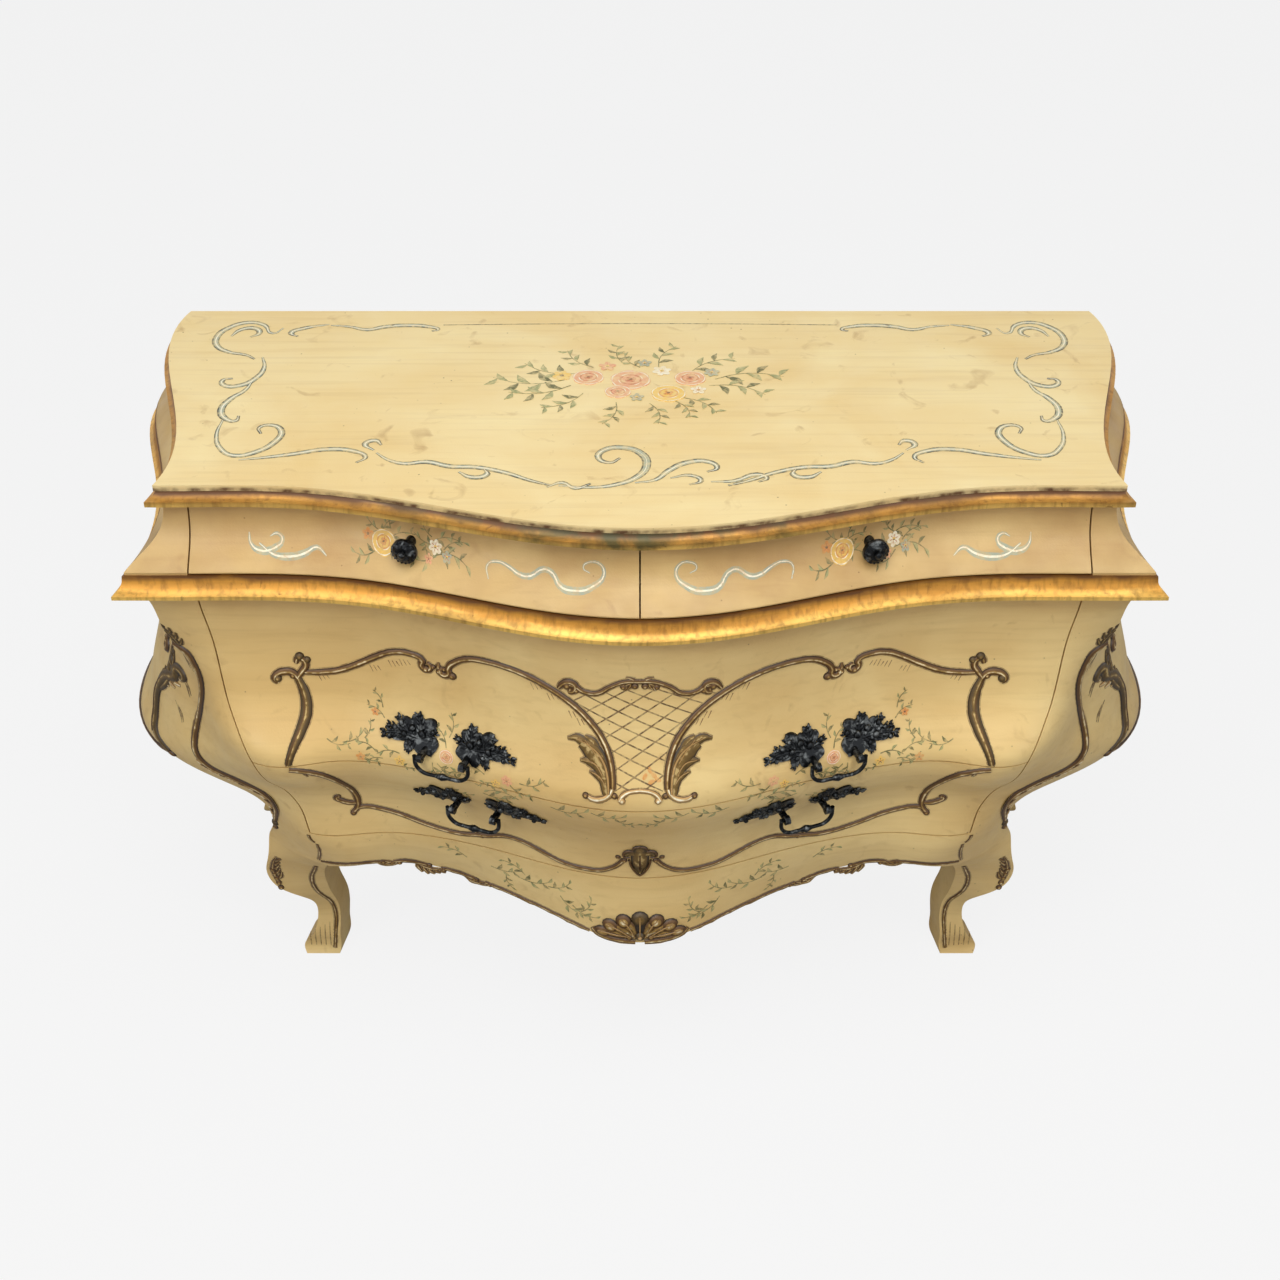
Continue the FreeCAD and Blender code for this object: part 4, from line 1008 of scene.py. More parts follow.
class Drawing:
    """Strokes and beads drawn flat, which become one mesh on a face."""

    HALO_REACH = 1.5
    COAT = 0.12
    SUNK = 0.4

    def __init__(self, name: str, materials: Sequence[bpy.types.Material], step: float = 0.0,
                 halo: Optional[int] = None) -> None:
        """Start a drawing.

        Args:
            name: Name of the piece.
            materials: Its materials.
            step: How much higher each stroke lies than the one before, in millimetres.
            halo: Which material gathers along the foot of every stroke, if any.
        """
        self.name = name
        self.materials = list(materials)
        self.step = step
        self.halo = halo
        self.count = 0
        self.layers: dict[tuple[float, int], bpy.types.Object] = {}
        self.parts: list[bpy.types.Object] = []

    def _layer(self, rise: float, rounds: int) -> bpy.types.Object:
        """Curve object for strokes of one relief.

        Args:
            rise: Height of a stroke's ridge as a share of its half width.
            rounds: How finely its section is rounded.

        Returns:
            The curve object.
        """
        key = (rise, rounds)
        if key not in self.layers:
            data = bpy.data.curves.new(f"{self.name}_{len(self.layers)}", "CURVE")
            data.dimensions = "3D"
            data.twist_mode = "Z_UP"
            data.bevel_depth = MM
            data.bevel_resolution = rounds
            data.use_fill_caps = True
            data.resolution_u = 4
            for material in self.materials:
                data.materials.append(material)
            item = bpy.data.objects.new(data.name, data)
            bpy.context.scene.collection.objects.link(item)
            self.layers[key] = item
        return self.layers[key]

    def stroke(self, points: Path, widths: Sequence[float] | float, rise: float = 0.8,
               material: int = 0, rounds: int = 2, base: float = 0.0) -> None:
        """Draw a stroke of varying width.

        Args:
            points: Where it goes, in millimetres.
            widths: Half width at each point, or one for all.
            rise: Height of its ridge as a share of the half width.
            material: Which of the drawing's materials.
            rounds: How finely its section is rounded.
            base: Height of its middle above the face, in millimetres.
        """
        if isinstance(widths, (int, float)):
            widths = [float(widths)] * len(points)
        if len(widths) != len(points):
            places = np.linspace(0, 1, len(points))
            widths = list(np.interp(places, np.linspace(0, 1, len(widths)), widths))
        if self.halo is not None and material != self.halo and base == 0.0:
            self.stroke(points, [width + self.HALO_REACH for width in widths], 0.1, self.halo, 0)
        self.count += 1
        level = base + self.count * self.step
        data = self._layer(rise, rounds).data
        spline = data.splines.new("BEZIER")
        spline.bezier_points.add(len(points) - 1)
        spline.material_index = material
        for knot, (x, y), width in zip(spline.bezier_points, points, widths):
            knot.co = (x * MM, y * MM, level * MM / rise)
            knot.handle_left_type = knot.handle_right_type = "AUTO"
            knot.radius = width

    def bead(self, place: Pair, radius: float, rise: float = 0.8, material: int = 0,
             length: float = 1.0, turn: float = 0.0, sides: int = 12,
             base: float = 0.0) -> None:
        """Draw a round or oval bead.

        Args:
            place: Its middle, in millimetres.
            radius: Its half width.
            rise: Height as a share of the half width.
            material: Which of the drawing's materials.
            length: Its length as a share of its width.
            turn: Direction of its length, in degrees.
            sides: Number of sides.
            base: Height of its middle above the face, in millimetres.
        """
        self.count += 1
        level = (base + self.count * self.step) * MM
        bpy.ops.mesh.primitive_uv_sphere_add(
            segments=sides, ring_count=max(4, sides // 2), radius=radius * MM,
            location=(place[0] * MM, place[1] * MM, level), rotation=(0, 0, math.radians(turn)),
            scale=(length, 1.0, rise))
        item = bpy.context.object
        only(item)
        bpy.ops.object.transform_apply(location=True, rotation=True, scale=True)
        for known in self.materials:
            item.data.materials.append(known)
        for face in item.data.polygons:
            face.material_index = material
        self.parts.append(item)

    def leaf(self, base: Pair, tip: Pair, bend: float, width: float, lobes: int = 5,
             rise: float = 0.7, material: int = 0, side: int = 1, lift: float = 0.0) -> None:
        """Draw a carved leaf of fingers that fan out of a bent rib.

        Args:
            base: Foot of the rib.
            tip: Its end.
            bend: How far the rib bows, as a share of its length.
            width: How far the fingers reach.
            lobes: Fingers on one side.
            rise: Height as a share of the half width.
            material: Which of the drawing's materials.
            side: 1 or -1 for fingers on one side of the rib, 0 for both.
            lift: Height of its middle above the face, in millimetres.
        """
        start, end = Vector(base), Vector(tip)
        along = end - start
        across = Vector((-along.y, along.x))
        rib = [start + along * t + across * bend * 4 * t * (1 - t)
               for t in (0, 0.2, 0.4, 0.6, 0.8, 1.0)]
        thick = 0.16 * width
        self.stroke([tuple(p) for p in rib], tapered(6, thick * 1.25, 0.7, 0.35, 0.35), rise,
                    material, base=lift)
        sides = (1, -1) if side == 0 else (side,)
        for hand in sides:
            for number in range(lobes):
                share = (number + 0.35) / lobes
                place = min(4.999, share * 5)
                foot = rib[int(place)].lerp(rib[int(place) + 1], place % 1)
                heading = (rib[int(place) + 1] - rib[int(place)]).normalized()
                aside = Vector((-heading.y, heading.x)) * hand
                reach = width * (1.05 - 0.62 * share)
                middle = foot + (aside * 0.62 + heading * 0.42) * reach * 0.55
                outer = foot + (aside * 0.72 + heading * 0.95) * reach
                self.stroke([tuple(foot), tuple(middle), tuple(outer)],
                            [thick * 0.7, thick * 1.45, thick * 0.55], rise, material,
                            base=lift)

    def finish(self) -> bpy.types.Object:
        """Turn the drawing into one flat mesh.

        Returns:
            The mesh, whose relief attribute is one on every ridge and none on its flanks.
        """
        items = list(self.parts)
        for (rise, _), layer in self.layers.items():
            only(layer)
            bpy.ops.object.convert(target="MESH")
            shape = bpy.context.object
            places = vertices(shape)
            places[:, 2] *= rise
            place_vertices(shape, places)
            items.append(shape)
        only(*items)
        if len(items) > 1:
            bpy.ops.object.join()
        made = bpy.context.object
        made.name = made.data.name = self.name
        outward(made)
        relief = made.data.attributes.new("relief", "FLOAT", "POINT")
        ridge = np.clip(normals(made)[:, 2], 0, 1)
        relief.data.foreach_set("value", ridge.astype(np.float32))
        return made

    def lay(self, ground: Ground, mirror: bool = True, lift: float = 0.0) -> bpy.types.Object:
        """Finish the drawing as carving on a face.

        Args:
            ground: The face.
            mirror: Whether the other half of the chest has it too.
            lift: Height added everywhere, in millimetres.

        Returns:
            The laid mesh.
        """
        made = self.finish()
        place_vertices(made, ground.lay(vertices(made), lift * MM))
        if mirror:
            mirrored_too(made)
        smooth(made, 50.0)
        return made

    def lay_paint(self, ground: Ground, mirror: bool = True) -> bpy.types.Object:
        """Finish the drawing as thin coats of paint on a face.

        Args:
            ground: The face.
            mirror: Whether the other half of the chest has it too.

        Returns:
            The laid mesh.
        """
        made = self.finish()
        flat = vertices(made)
        under = normals(made)[:, 2] < -0.2
        flat[:, 2] = np.where(under, -self.SUNK * MM, flat[:, 2] + self.COAT * MM)
        place_vertices(made, ground.lay(flat))
        if mirror:
            mirrored_too(made)
        smooth(made, 60.0)
        return made


# ---------- Stage ----------
@dataclass(frozen=True)
class Lamp:
    """Square soft light aimed at a point."""

    name: str
    place: Spot
    aim: Spot
    size: float
    power: float

    def build(self) -> None:
        """Hang it."""
        light = bpy.data.lights.new(self.name, "AREA")
        light.size, light.energy = self.size, self.power
        lamp = bpy.data.objects.new(self.name, light)
        bpy.context.scene.collection.objects.link(lamp)
        lamp.location = self.place
        way = Vector(self.aim) - Vector(self.place)
        lamp.rotation_euler = way.to_track_quat("-Z", "Y").to_euler()


@dataclass
class Stage:
    """Floor, light and camera."""

    lens: float = 56.25
    sensor: float = 36.0
    tilt: float = 52.506
    place: Spot = (0.0, -2.10839, 2.15495)
    floor_reach: float = 12.0
    white: Color = (1.0, 1.0, 1.0, 1.0)
    air: Color = (0.96, 0.97, 1.0, 1.0)
    dim: float = 0.24
    glow: float = 0.86
    lamps: tuple[Lamp, ...] = (
        Lamp("sky_panel", (0.0, -1.3, 3.5), (0.0, -0.1, 0.5), 2.6, 78.0),
        Lamp("window_panel", (-2.6, -3.0, 2.6), (0.0, 0.0, 0.5), 2.0, 46.0),
        Lamp("fill_panel", (2.8, -2.8, 2.0), (0.0, 0.0, 0.4), 2.0, 24.0))

    def build(self) -> None:
        """Set them up."""
        bpy.ops.mesh.primitive_plane_add(size=self.floor_reach, location=(0, 0, 0))
        floor = bpy.context.object
        floor.name = "floor"
        floor.data.materials.append(self._floor_finish())
        self._world()
        for lamp in self.lamps:
            lamp.build()
        self._camera()

    def _floor_finish(self) -> bpy.types.Material:
        """Pale floor that keeps the chest's shadow and looks white to the eye.

        Returns:
            The material.
        """
        sheet = Recipe(bpy.data.materials.new("floor_pale"))
        pale, glow = sheet.add("BsdfDiffuse"), sheet.add("Emission")
        clouds = sheet.ramp(sheet.noise(2.0, 3.0), (0.3, 0.44), (0.7, 0.48))
        sheet.feed(pale.inputs["Color"], clouds)
        sheet.feed(glow.inputs["Color"], self.white)
        seen = sheet.add("LightPath").outputs["Is Camera Ray"]
        share = sheet.math("MULTIPLY", seen, self.glow)
        sheet.close("OutputMaterial", sheet.blend(share, pale, glow))
        return sheet.owner

    def _world(self) -> None:
        """Even surroundings: dim on the chest, white to the eye and in its gloss."""
        world = bpy.data.worlds.new("studio")
        bpy.context.scene.world = world
        sheet = Recipe(world)
        rays = sheet.add("LightPath").outputs
        seen = sheet.math("MAXIMUM", rays["Is Camera Ray"], rays["Is Glossy Ray"])
        seen = sheet.math("MAXIMUM", seen, rays["Is Transmission Ray"])
        around, behind = sheet.add("Background"), sheet.add("Background")
        for node, color, strength in ((around, self.air, self.dim), (behind, self.white, 1.0)):
            sheet.feed(node.inputs["Color"], color)
            sheet.feed(node.inputs["Strength"], strength)
        sheet.close("OutputWorld", sheet.blend(seen, around, behind))

    def _camera(self) -> None:
        """Camera in front of the chest, looking down at it."""
        data = bpy.data.cameras.new("camera")
        data.lens, data.sensor_width = self.lens, self.sensor
        camera = bpy.data.objects.new("camera", data)
        bpy.context.scene.collection.objects.link(camera)
        camera.location = self.place
        camera.rotation_euler = (math.radians(self.tilt), 0.0, 0.0)
        bpy.context.scene.camera = camera


# ---------- Carcass ----------
@dataclass
class PaintedShell:
    """The painted outside: top, frieze, fronts, stiles, sides, aprons and legs."""

    fronts: tuple[str, ...] = (
        "frieze_post_left", "frieze_post_right", "frieze_side_left", "frieze_side_right",
        "front_stile_left", "front_stile_right", "rear_post_left", "rear_post_right",
        "side_panel_left", "side_panel_right", "side_apron_left", "side_apron_right",
        "front_apron", "frieze_left_front", "frieze_right_front", "upper_drawer_front",
        "lower_drawer_front")

    def build(self, bench: Bench) -> None:
        """Shade every painted piece smooth.

        Args:
            bench: The frame and the finishes.
        """
        # The top takes the paler copy of the cream paint, as painted light.
        bench.smooth_copy("top_board", "paint_top_lit", "painted_wood")
        for node in self.fronts:
            bench.smooth_copy(node, "paint_front", "painted_wood")


@dataclass
class GiltMouldings:
    """Gilt mouldings under the top and at the waist."""

    crease: float = 50.0

    def build(self, bench: Bench) -> None:
        """Shade and gild them."""
        bench.smooth_copy("top_moulding", "gilt_top", "gilt_wood", self.crease)
        bench.smooth_copy("waist_moulding", "gilt_waist", "gilt_wood", self.crease)


@dataclass
class Inside:
    """Boards, drawer boxes and fastenings that show when the drawers are open."""

    across: tuple[str, ...] = ("back_panel", "middle_board", "bottom_board", "waist_board",
                               "top_rails")
    boxes: tuple[str, ...] = ("upper_drawer", "lower_drawer", "frieze_left", "frieze_right")

    def build(self, bench: Bench) -> None:
        """Give each its wood or metal.

        Args:
            bench: The frame and the finishes.
        """
        bench.paint("wood_across", *self.across)
        bench.paint("wood_deep", "drawer_guides", "frieze_divider")
        for box in self.boxes:
            bench.paint("wood_deep", f"{box}_side_left", f"{box}_side_right")
            bench.paint("wood_across", f"{box}_back", f"{box}_bottom")
        bench.paint("dark_metal", "upper_drawer_nuts", "lower_drawer_nuts")


# ---------- Carved mouldings ----------
@dataclass
class UpperCarving:
    """Cartouche, acanthus and trellis of the upper wide drawer, right half drawn."""

    line: float = 4.5
    rise: float = 0.75
    shoulder: tuple[Pair, ...] = ((416, 612), (399, 612), (373, 616), (346, 628), (323, 641),
                                  (304, 650), (282, 652), (266, 645))
    crown: tuple[Pair, ...] = ((234, 641), (222, 655), (206, 663), (189, 665), (164, 664),
                               (139, 659), (117, 651), (96, 640), (78, 628), (61, 612),
                               (45, 590), (36, 566), (33, 545))
    flank: tuple[Pair, ...] = ((425, 604), (418, 583), (417, 562), (423, 546), (432, 530),
                               (438, 516), (440, 508.5))
    trellis_top: tuple[Pair, ...] = ((92, 651), (80, 657), (68, 650), (50, 650), (36, 660),
                                     (18, 669), (0, 670))
    neck: Pair = (33, 545)
    flare: float = 0.25
    trellis_foot: float = 531.5
    lattice: tuple[Pair, ...] = ((0.70, 23.0), (-0.46, 17.5))
    lattice_span: Pair = (300.0, 900.0)
    panel_half: float = 120.0
    pitch: float = 2.0

    def build(self, bench: Bench, ground: Ground) -> None:
        """Carve it.

        Args:
            bench: The frame and the finishes.
            ground: The front of the chest.
        """
        work = bench.carving("upper_cartouche")
        thick = self.line
        work.stroke(list(self.shoulder) + curl(self.shoulder[-1], -48, 7.5, -1),
                    [3.2] + [thick] * 8 + [3.8, 3.2, 2.6], self.rise)
        work.stroke(curl(self.crown[0], -122, 7.0, 1)[::-1] + list(self.crown) + [
            (33, 534)], [2.6, 3.2] + [thick] * 18 + [4, 3.6], self.rise)
        # Pale curl in painted highlight.
        work.stroke([(33, 536), (38, 526), (47, 520.5), (58, 519.5), (66, 524)],
                    [3.0, 3.8, 4.2, 3.8, 2.8], 0.7, Gilt.HIGHLIGHT)
        work.stroke(self.flank, [4.6, 6.8, 7.6, 7.0, 5.8, 5.0, 4.6], 0.6, Gilt.LEAF)
        work.stroke([(x + 2.6, z) for x, z in self.flank], [0.8, 1.3, 1.5, 1.4, 1.2, 1.0, 0.8], 1.0,
                    Gilt.GOLD, 1, 2.8)
        work.stroke([(425, 604), (431, 612), (441, 614), (450, 611), (454, 605), (449, 600)],
                    [4.2, 5.0, 5.4, 5.0, 4.2, 3.2], self.rise)
        work.stroke([(425, 606), (419, 614), (414, 622), (417, 630), (424, 631), (426, 625)],
                    [4.0, 4.8, 4.8, 4.4, 4.0, 3.2], self.rise)
        for place, size in (((421, 634), 6.0), ((412, 629), 5.0), ((450, 605), 5.6)):
            work.bead(place, size, 0.8, Gilt.LEAF)
        work.bead((431, 608), 4.6, 0.9)
        for place, size in (((262, 634), 5.4), ((229, 632), 5.4), ((246, 634), 4.2),
                            ((253, 639), 3.6), ((239, 639), 3.6), ((66, 523), 4.4)):
            work.bead(place, size, 0.85)
        work.stroke([(246, 632), (246, 641), (246, 647)], [2.2, 3.6, 1.4], 0.8)
        work.stroke(curl(self.trellis_top[0], 110, 5.0, 1, 5, 250)[::-1]
                    + list(self.trellis_top[1:]),
                    [2.8, 3.4, 4.2, 3.8, 3.4, 3.4], self.rise)
        work.stroke([(98, 649), (92, 657), (84, 661), (77, 656), (80, 648), (86, 646)],
                    [2.6, 4.4, 5.0, 4.6, 4.0, 3.0], 0.75)
        work.bead((87, 655), 5.6, 0.8)
        work.bead((76, 650), 4.2, 0.8)
        work.leaf((2, 670), (20, 660), 0.1, 12.0, 3, 0.6, side=0)
        work.bead((6, 663), 4.6, 0.8)
        work.bead((20, 661), 4.0, 0.8)
        # Low C-scroll and its bead in painted highlight.
        work.stroke([(25, 520.5), (21, 527), (13, 531.5), (0, 533.5)], [3.8, 3.4, 2.8, 2.6], 0.75,
                    Gilt.HIGHLIGHT)
        work.bead((22, 520.5), 4.6, 0.75, Gilt.HIGHLIGHT)
        work.bead((31, 526), 4.2, 0.7)
        bench.seat(work.lay(ground), "upper_drawer", "gilt_wood")
        self._acanthus(bench, ground)
        self._trellis(bench, ground)

    @staticmethod
    def _acanthus(bench: Bench, ground: Ground) -> None:
        """Broad dark leaf beside the panel, with three lobes and ribs in painted highlight.

        Args:
            bench: The frame and the finishes.
            ground: The front of the chest.
        """
        work = bench.carving("upper_acanthus")
        for points, widths, rise in (
                (((40, 527), (42, 543), (48, 560), (58, 575), (70, 584)),
                 (6.0, 8.5, 11.0, 12.5, 8.0), 0.26),
                (((60, 578), (74, 588), (88, 586)), (7.0, 6.5, 1.6), 0.34),
                (((50, 572), (57, 586), (67, 592)), (5.0, 6.0, 2.6), 0.36),
                (((52, 558), (63, 563), (73, 562)), (6.5, 5.6, 1.2), 0.34),
                (((45, 543), (54, 549), (62, 551)), (5.0, 4.2, 1.0), 0.36)):
            work.stroke(points, widths, rise, Gilt.LEAF)
        # The ribs, in painted highlight.
        for points, widths in (
                (((38, 528), (39, 548), (45, 566), (58, 580), (76, 588)),
                 (1.6, 2.0, 1.7, 1.2, 0.7)),
                (((45, 548), (55, 561), (68, 563)), (0.7, 1.1, 0.6)),
                (((47, 562), (57, 577), (66, 588)), (0.7, 1.0, 0.6)),
                (((42, 538), (49, 547), (58, 551)), (0.6, 1.0, 0.5))):
            work.stroke(points, widths, 1.0, Gilt.HIGHLIGHT, 1, 2.4)
        bench.seat(work.lay(ground), "upper_drawer", "gilt_wood")

    def _inside(self, x: float, z: float) -> bool:
        """Whether a point lies in the trellis panel.

        Args:
            x: Its place across, in millimetres.
            z: Its height.

        Returns:
            Whether it does.
        """
        heights = [height for _, height in reversed(self.crown)]
        side = float(np.interp(z, heights, [across for across, _ in reversed(self.crown)]))
        if z <= self.neck[1]:
            side = self.neck[0] + (self.neck[1] - z) * self.flare
        tops = sorted(self.trellis_top)
        top = float(np.interp(abs(x), [p[0] for p in tops], [p[1] for p in tops]))
        return abs(x) < side - 1.5 and self.trellis_foot < z < top - 1

    def _trellis(self, bench: Bench, ground: Ground) -> None:
        """Incised diamond lattice on the panel.

        Args:
            bench: The frame and the finishes.
            ground: The front of the chest.
        """
        work = Drawing("upper_trellis", [bench.finishes["umber"],
                                         bench.finishes[Ink.ORANGE.finish(True)]], COAT_STEP)
        reach = int(self.panel_half / self.pitch)
        for lean, cell in self.lattice:
            for offset in np.arange(*self.lattice_span, cell):
                run = []
                for step in range(-reach, reach + 1):
                    x = step * self.pitch
                    z = offset + lean * x
                    if self._inside(x, z):
                        run.append((x, z))
                    elif len(run) > 3:
                        break
                if len(run) > 3:
                    thin = [run[0], run[len(run) // 3], run[2 * len(run) // 3], run[-1]]
                    work.stroke(thin, [0.7, 1.0, 0.95, 0.75], 0.3, rounds=0)
        for x, z in ((12, 556), (17, 550), (6, 549), (22, 545), (14, 543)):
            work.bead((x, z), 2.6, 0.06, 1, 1.7, 40.0 * x, 8)
        bench.seat(work.lay_paint(ground, mirror=False), "upper_drawer", "gilt_wood")


@dataclass
class LowerCarving:
    """Carved line of the lower wide drawer, right half drawn."""

    flank: tuple[Pair, ...] = ((440, 500), (431, 498.5), (417, 493), (401, 483), (387, 466),
                               (377, 444), (370, 422), (367, 405), (369, 393), (375, 386))
    flank_widths: tuple[float, ...] = (3.6, 4.0, 4.4, 4.8, 4.8, 4.6, 4.4, 4.4, 4.2, 3.8)
    foot: tuple[Pair, ...] = ((375, 386), (368, 393), (358, 395), (340, 391), (314, 383),
                              (292, 375), (270, 369), (250, 366), (232, 366), (212, 370),
                              (193, 374), (176, 380), (159, 381), (140, 377), (121, 370),
                              (102, 363), (84, 360), (66, 359.5), (51, 361), (38, 367),
                              (27, 376), (20, 386))
    line: float = 3.5

    def build(self, bench: Bench, ground: Ground) -> None:
        """Carve it.

        Args:
            bench: The frame and the finishes.
            ground: The front of the chest.
        """
        work = bench.carving("lower_cartouche")
        work.stroke(self.flank, self.flank_widths, 0.7)
        work.leaf((424, 496), (398, 487), 0.1, 9.0, 3, 0.6, side=1)
        work.stroke([(368, 402), (378, 403), (388, 408), (394, 414), (390, 418)],
                    [3.0, 4.0, 4.4, 4.0, 3.2], 0.75)
        work.stroke(self.foot, [4.0] + [self.line] * (len(self.foot) - 2) + [3.8], 0.75)
        for place, size in (((374, 386), 4.6), ((391, 416), 3.6), ((205, 370), 3.6),
                            ((213, 375), 3.0), ((28, 390), 3.6), ((20, 384), 4.0)):
            work.bead(place, size, 0.85)
        work.stroke([(0, 407), (0, 392), (0, 376), (0, 360)], [8.0, 12.0, 11.0, 2.5], 0.3,
                    Gilt.LEAF)
        work.stroke([(4, 394), (12, 400), (18, 395)], [5.0, 6.5, 4.0], 0.42, Gilt.LEAF)
        work.bead((0, 408), 9.0, 0.4, Gilt.LEAF)
        for points, widths, base in (
                (((0, 417), (7, 414), (10, 407)), (1.4, 1.6, 1.2), 1.8),
                (((9, 404), (16, 405), (21, 398), (19, 391), (13, 391)),
                 (1.4, 1.8, 1.8, 1.6, 1.2), 1.4),
                (((14, 386), (11, 374), (5, 362), (0, 357)), (1.4, 1.8, 1.6, 1.4), 1.2),
                (((0, 398), (0, 380), (0, 366)), (1.0, 1.3, 0.8), 3.2)):
            work.stroke(points, widths, 1.0, Gilt.GOLD, 1, base)
        bench.seat(work.lay(ground), "lower_drawer", "gilt_wood")


@dataclass
class CornerCarving:
    """Rope moulding that runs down each canted corner to the apron, and the leg's carving."""

    spots: tuple[Spot, ...] = (
        (0.610, -0.056, 585), (0.590, -0.100, 622), (0.566, -0.139, 632), (0.555, -0.145, 608),
        (0.551, -0.145, 577), (0.558, -0.136, 540), (0.571, -0.123, 500), (0.577, -0.122, 468),
        (0.574, -0.122, 444), (0.564, -0.124, 430), (0.549, -0.130, 422), (0.527, -0.143, 418),
        (0.507, -0.149, 411), (0.490, -0.154, 399), (0.481, -0.150, 379), (0.484, -0.136, 350),
        (0.487, -0.126, 332))
    gadroons: int = 18
    first_gadroon: float = 8.6
    gadroon_step: float = 0.38
    gadroon_size: float = 3.4

    def build(self, bench: Bench, ground: Ground, front: Ground) -> None:
        """Carve it.

        Args:
            bench: The frame and the finishes.
            ground: The corner, seen along its cant.
            front: The front of the chest.
        """
        work = bench.carving("corner_scroll")
        path = [self._flat(ground, *spot) for spot in self.spots]
        work.stroke(curl(path[0], 200, 8.0, 1, 6, 300)[::-1] + path,
                    [3.4, 4.4] + [6.0] * 10 + [5.4] * 5 + [5.0, 4.0], 0.68)
        self._gadroons(work, path)
        top = path[2]
        work.leaf((top[0] + 2, top[1] + 4), (top[0] + 18, top[1] + 36), 0.12, 13.0, 4, 0.7,
                  Gilt.LEAF, 0)
        work.leaf((top[0] + 16, top[1] - 2), (top[0] + 40, top[1] + 22), 0.1, 11.0, 4, 0.7, side=0)
        work.bead(path[0], 6.0, 0.8)
        work.bead((path[-1][0] + 1, path[-1][1] - 5), 6.0, 0.8, Gilt.LEAF)
        work.bead((path[-1][0] + 3, path[-1][1] - 15), 4.2, 0.8)
        bench.seat(work.lay(ground), "carcass", "gilt_wood")
        self._marks(bench, ground)
        self._leg(bench, front)

    def _gadroons(self, work: Drawing, path: Path) -> None:
        """Row of slanted ovals under the lower run of the rope.

        Args:
            work: The corner's drawing.
            path: The rope's points.
        """
        for number in range(self.gadroons):
            share = self.first_gadroon + self.gadroon_step * number
            cell = min(int(share), len(path) - 2)
            start, end = Vector(path[cell]), Vector(path[cell + 1])
            aim = end - start
            aside = Vector((-aim.y, aim.x)).normalized() * 5.4
            spot = start.lerp(end, min(1.0, share - cell)) + aside
            turn = math.degrees(math.atan2(aim.y, aim.x)) - 28
            # Two gadroons in three carry painted highlight.
            finish = Gilt.GOLD if number % 3 == 1 else Gilt.HIGHLIGHT
            work.bead(tuple(spot), self.gadroon_size, 0.85, finish, 1.7, turn, base=1.4)

    @staticmethod
    def _marks(bench: Bench, ground: Ground) -> None:
        """Short strokes of dark glaze between the rope and the side's leaf.

        Args:
            bench: The frame and the finishes.
            ground: The corner, seen along its cant.
        """
        work = Drawing("corner_marks", [bench.finishes["umber"]], COAT_STEP)
        for x, z, reach in ((273, 618, 32), (265, 614, 30), (283, 563, 30), (277, 561, 24),
                            (300, 512, 28), (294, 508, 22)):
            work.stroke([(x, z), (x - 0.35 * reach, z - 0.5 * reach), (x - 0.5 * reach, z - reach)],
                        [0.7, 2.0, 0.7], 0.3, rounds=0)
        bench.seat(work.lay_paint(ground), "carcass", "painted_wood")

    @staticmethod
    def _flat(ground: Ground, x: float, y: float, z: float) -> Pair:
        """Flat place of a point given by X and Y in metres and Z in millimetres."""
        return Vector((x, y, 0.0)).dot(ground.across) / MM, z

    @staticmethod
    def _leg(bench: Bench, front: Ground) -> None:
        """Gilt arris line, knee leaf and toe flutes of each front leg.

        Args:
            bench: The frame and the finishes.
            front: The front of the chest.
        """
        work = bench.carving("leg_carving")
        work.stroke([(437, 346), (435, 338), (430, 333)], [2.6, 2.2, 1.4], 0.6)
        work.stroke([(427, 331), (426, 316), (428, 300), (432, 284)], [1.8, 2.2, 2.0, 1.6], 0.6)
        work.stroke([(446, 232), (452, 212), (459, 190), (461, 170), (459, 150), (453, 130),
                     (446, 112), (442, 92), (441, 70), (443, 46), (446, 22), (448, 8)],
                    [2.4, 3.0, 3.2, 3.0, 2.8, 2.6, 2.6, 2.6, 2.4, 2.4, 2.4, 2.0], 0.6)
        work.leaf((508, 176), (500, 244), -0.1, 17.0, 5, 0.6, side=1)
        for number in range(5):
            work.bead((512 - 1.5 * number, 206 - 11 * number), 4.4, 0.7, Gilt.GOLD, 1.2, 80)
        for number in range(5):
            x = 451 + 7.2 * number
            work.stroke([(x, 60 - 4 * number), (x + 1.2, 36), (x + 2.4, 12)], [0.5, 1.1, 0.8],
                        0.5, Gilt.GLAZE, 0)
        bench.seat(work.lay(front), "carcass", "gilt_wood")


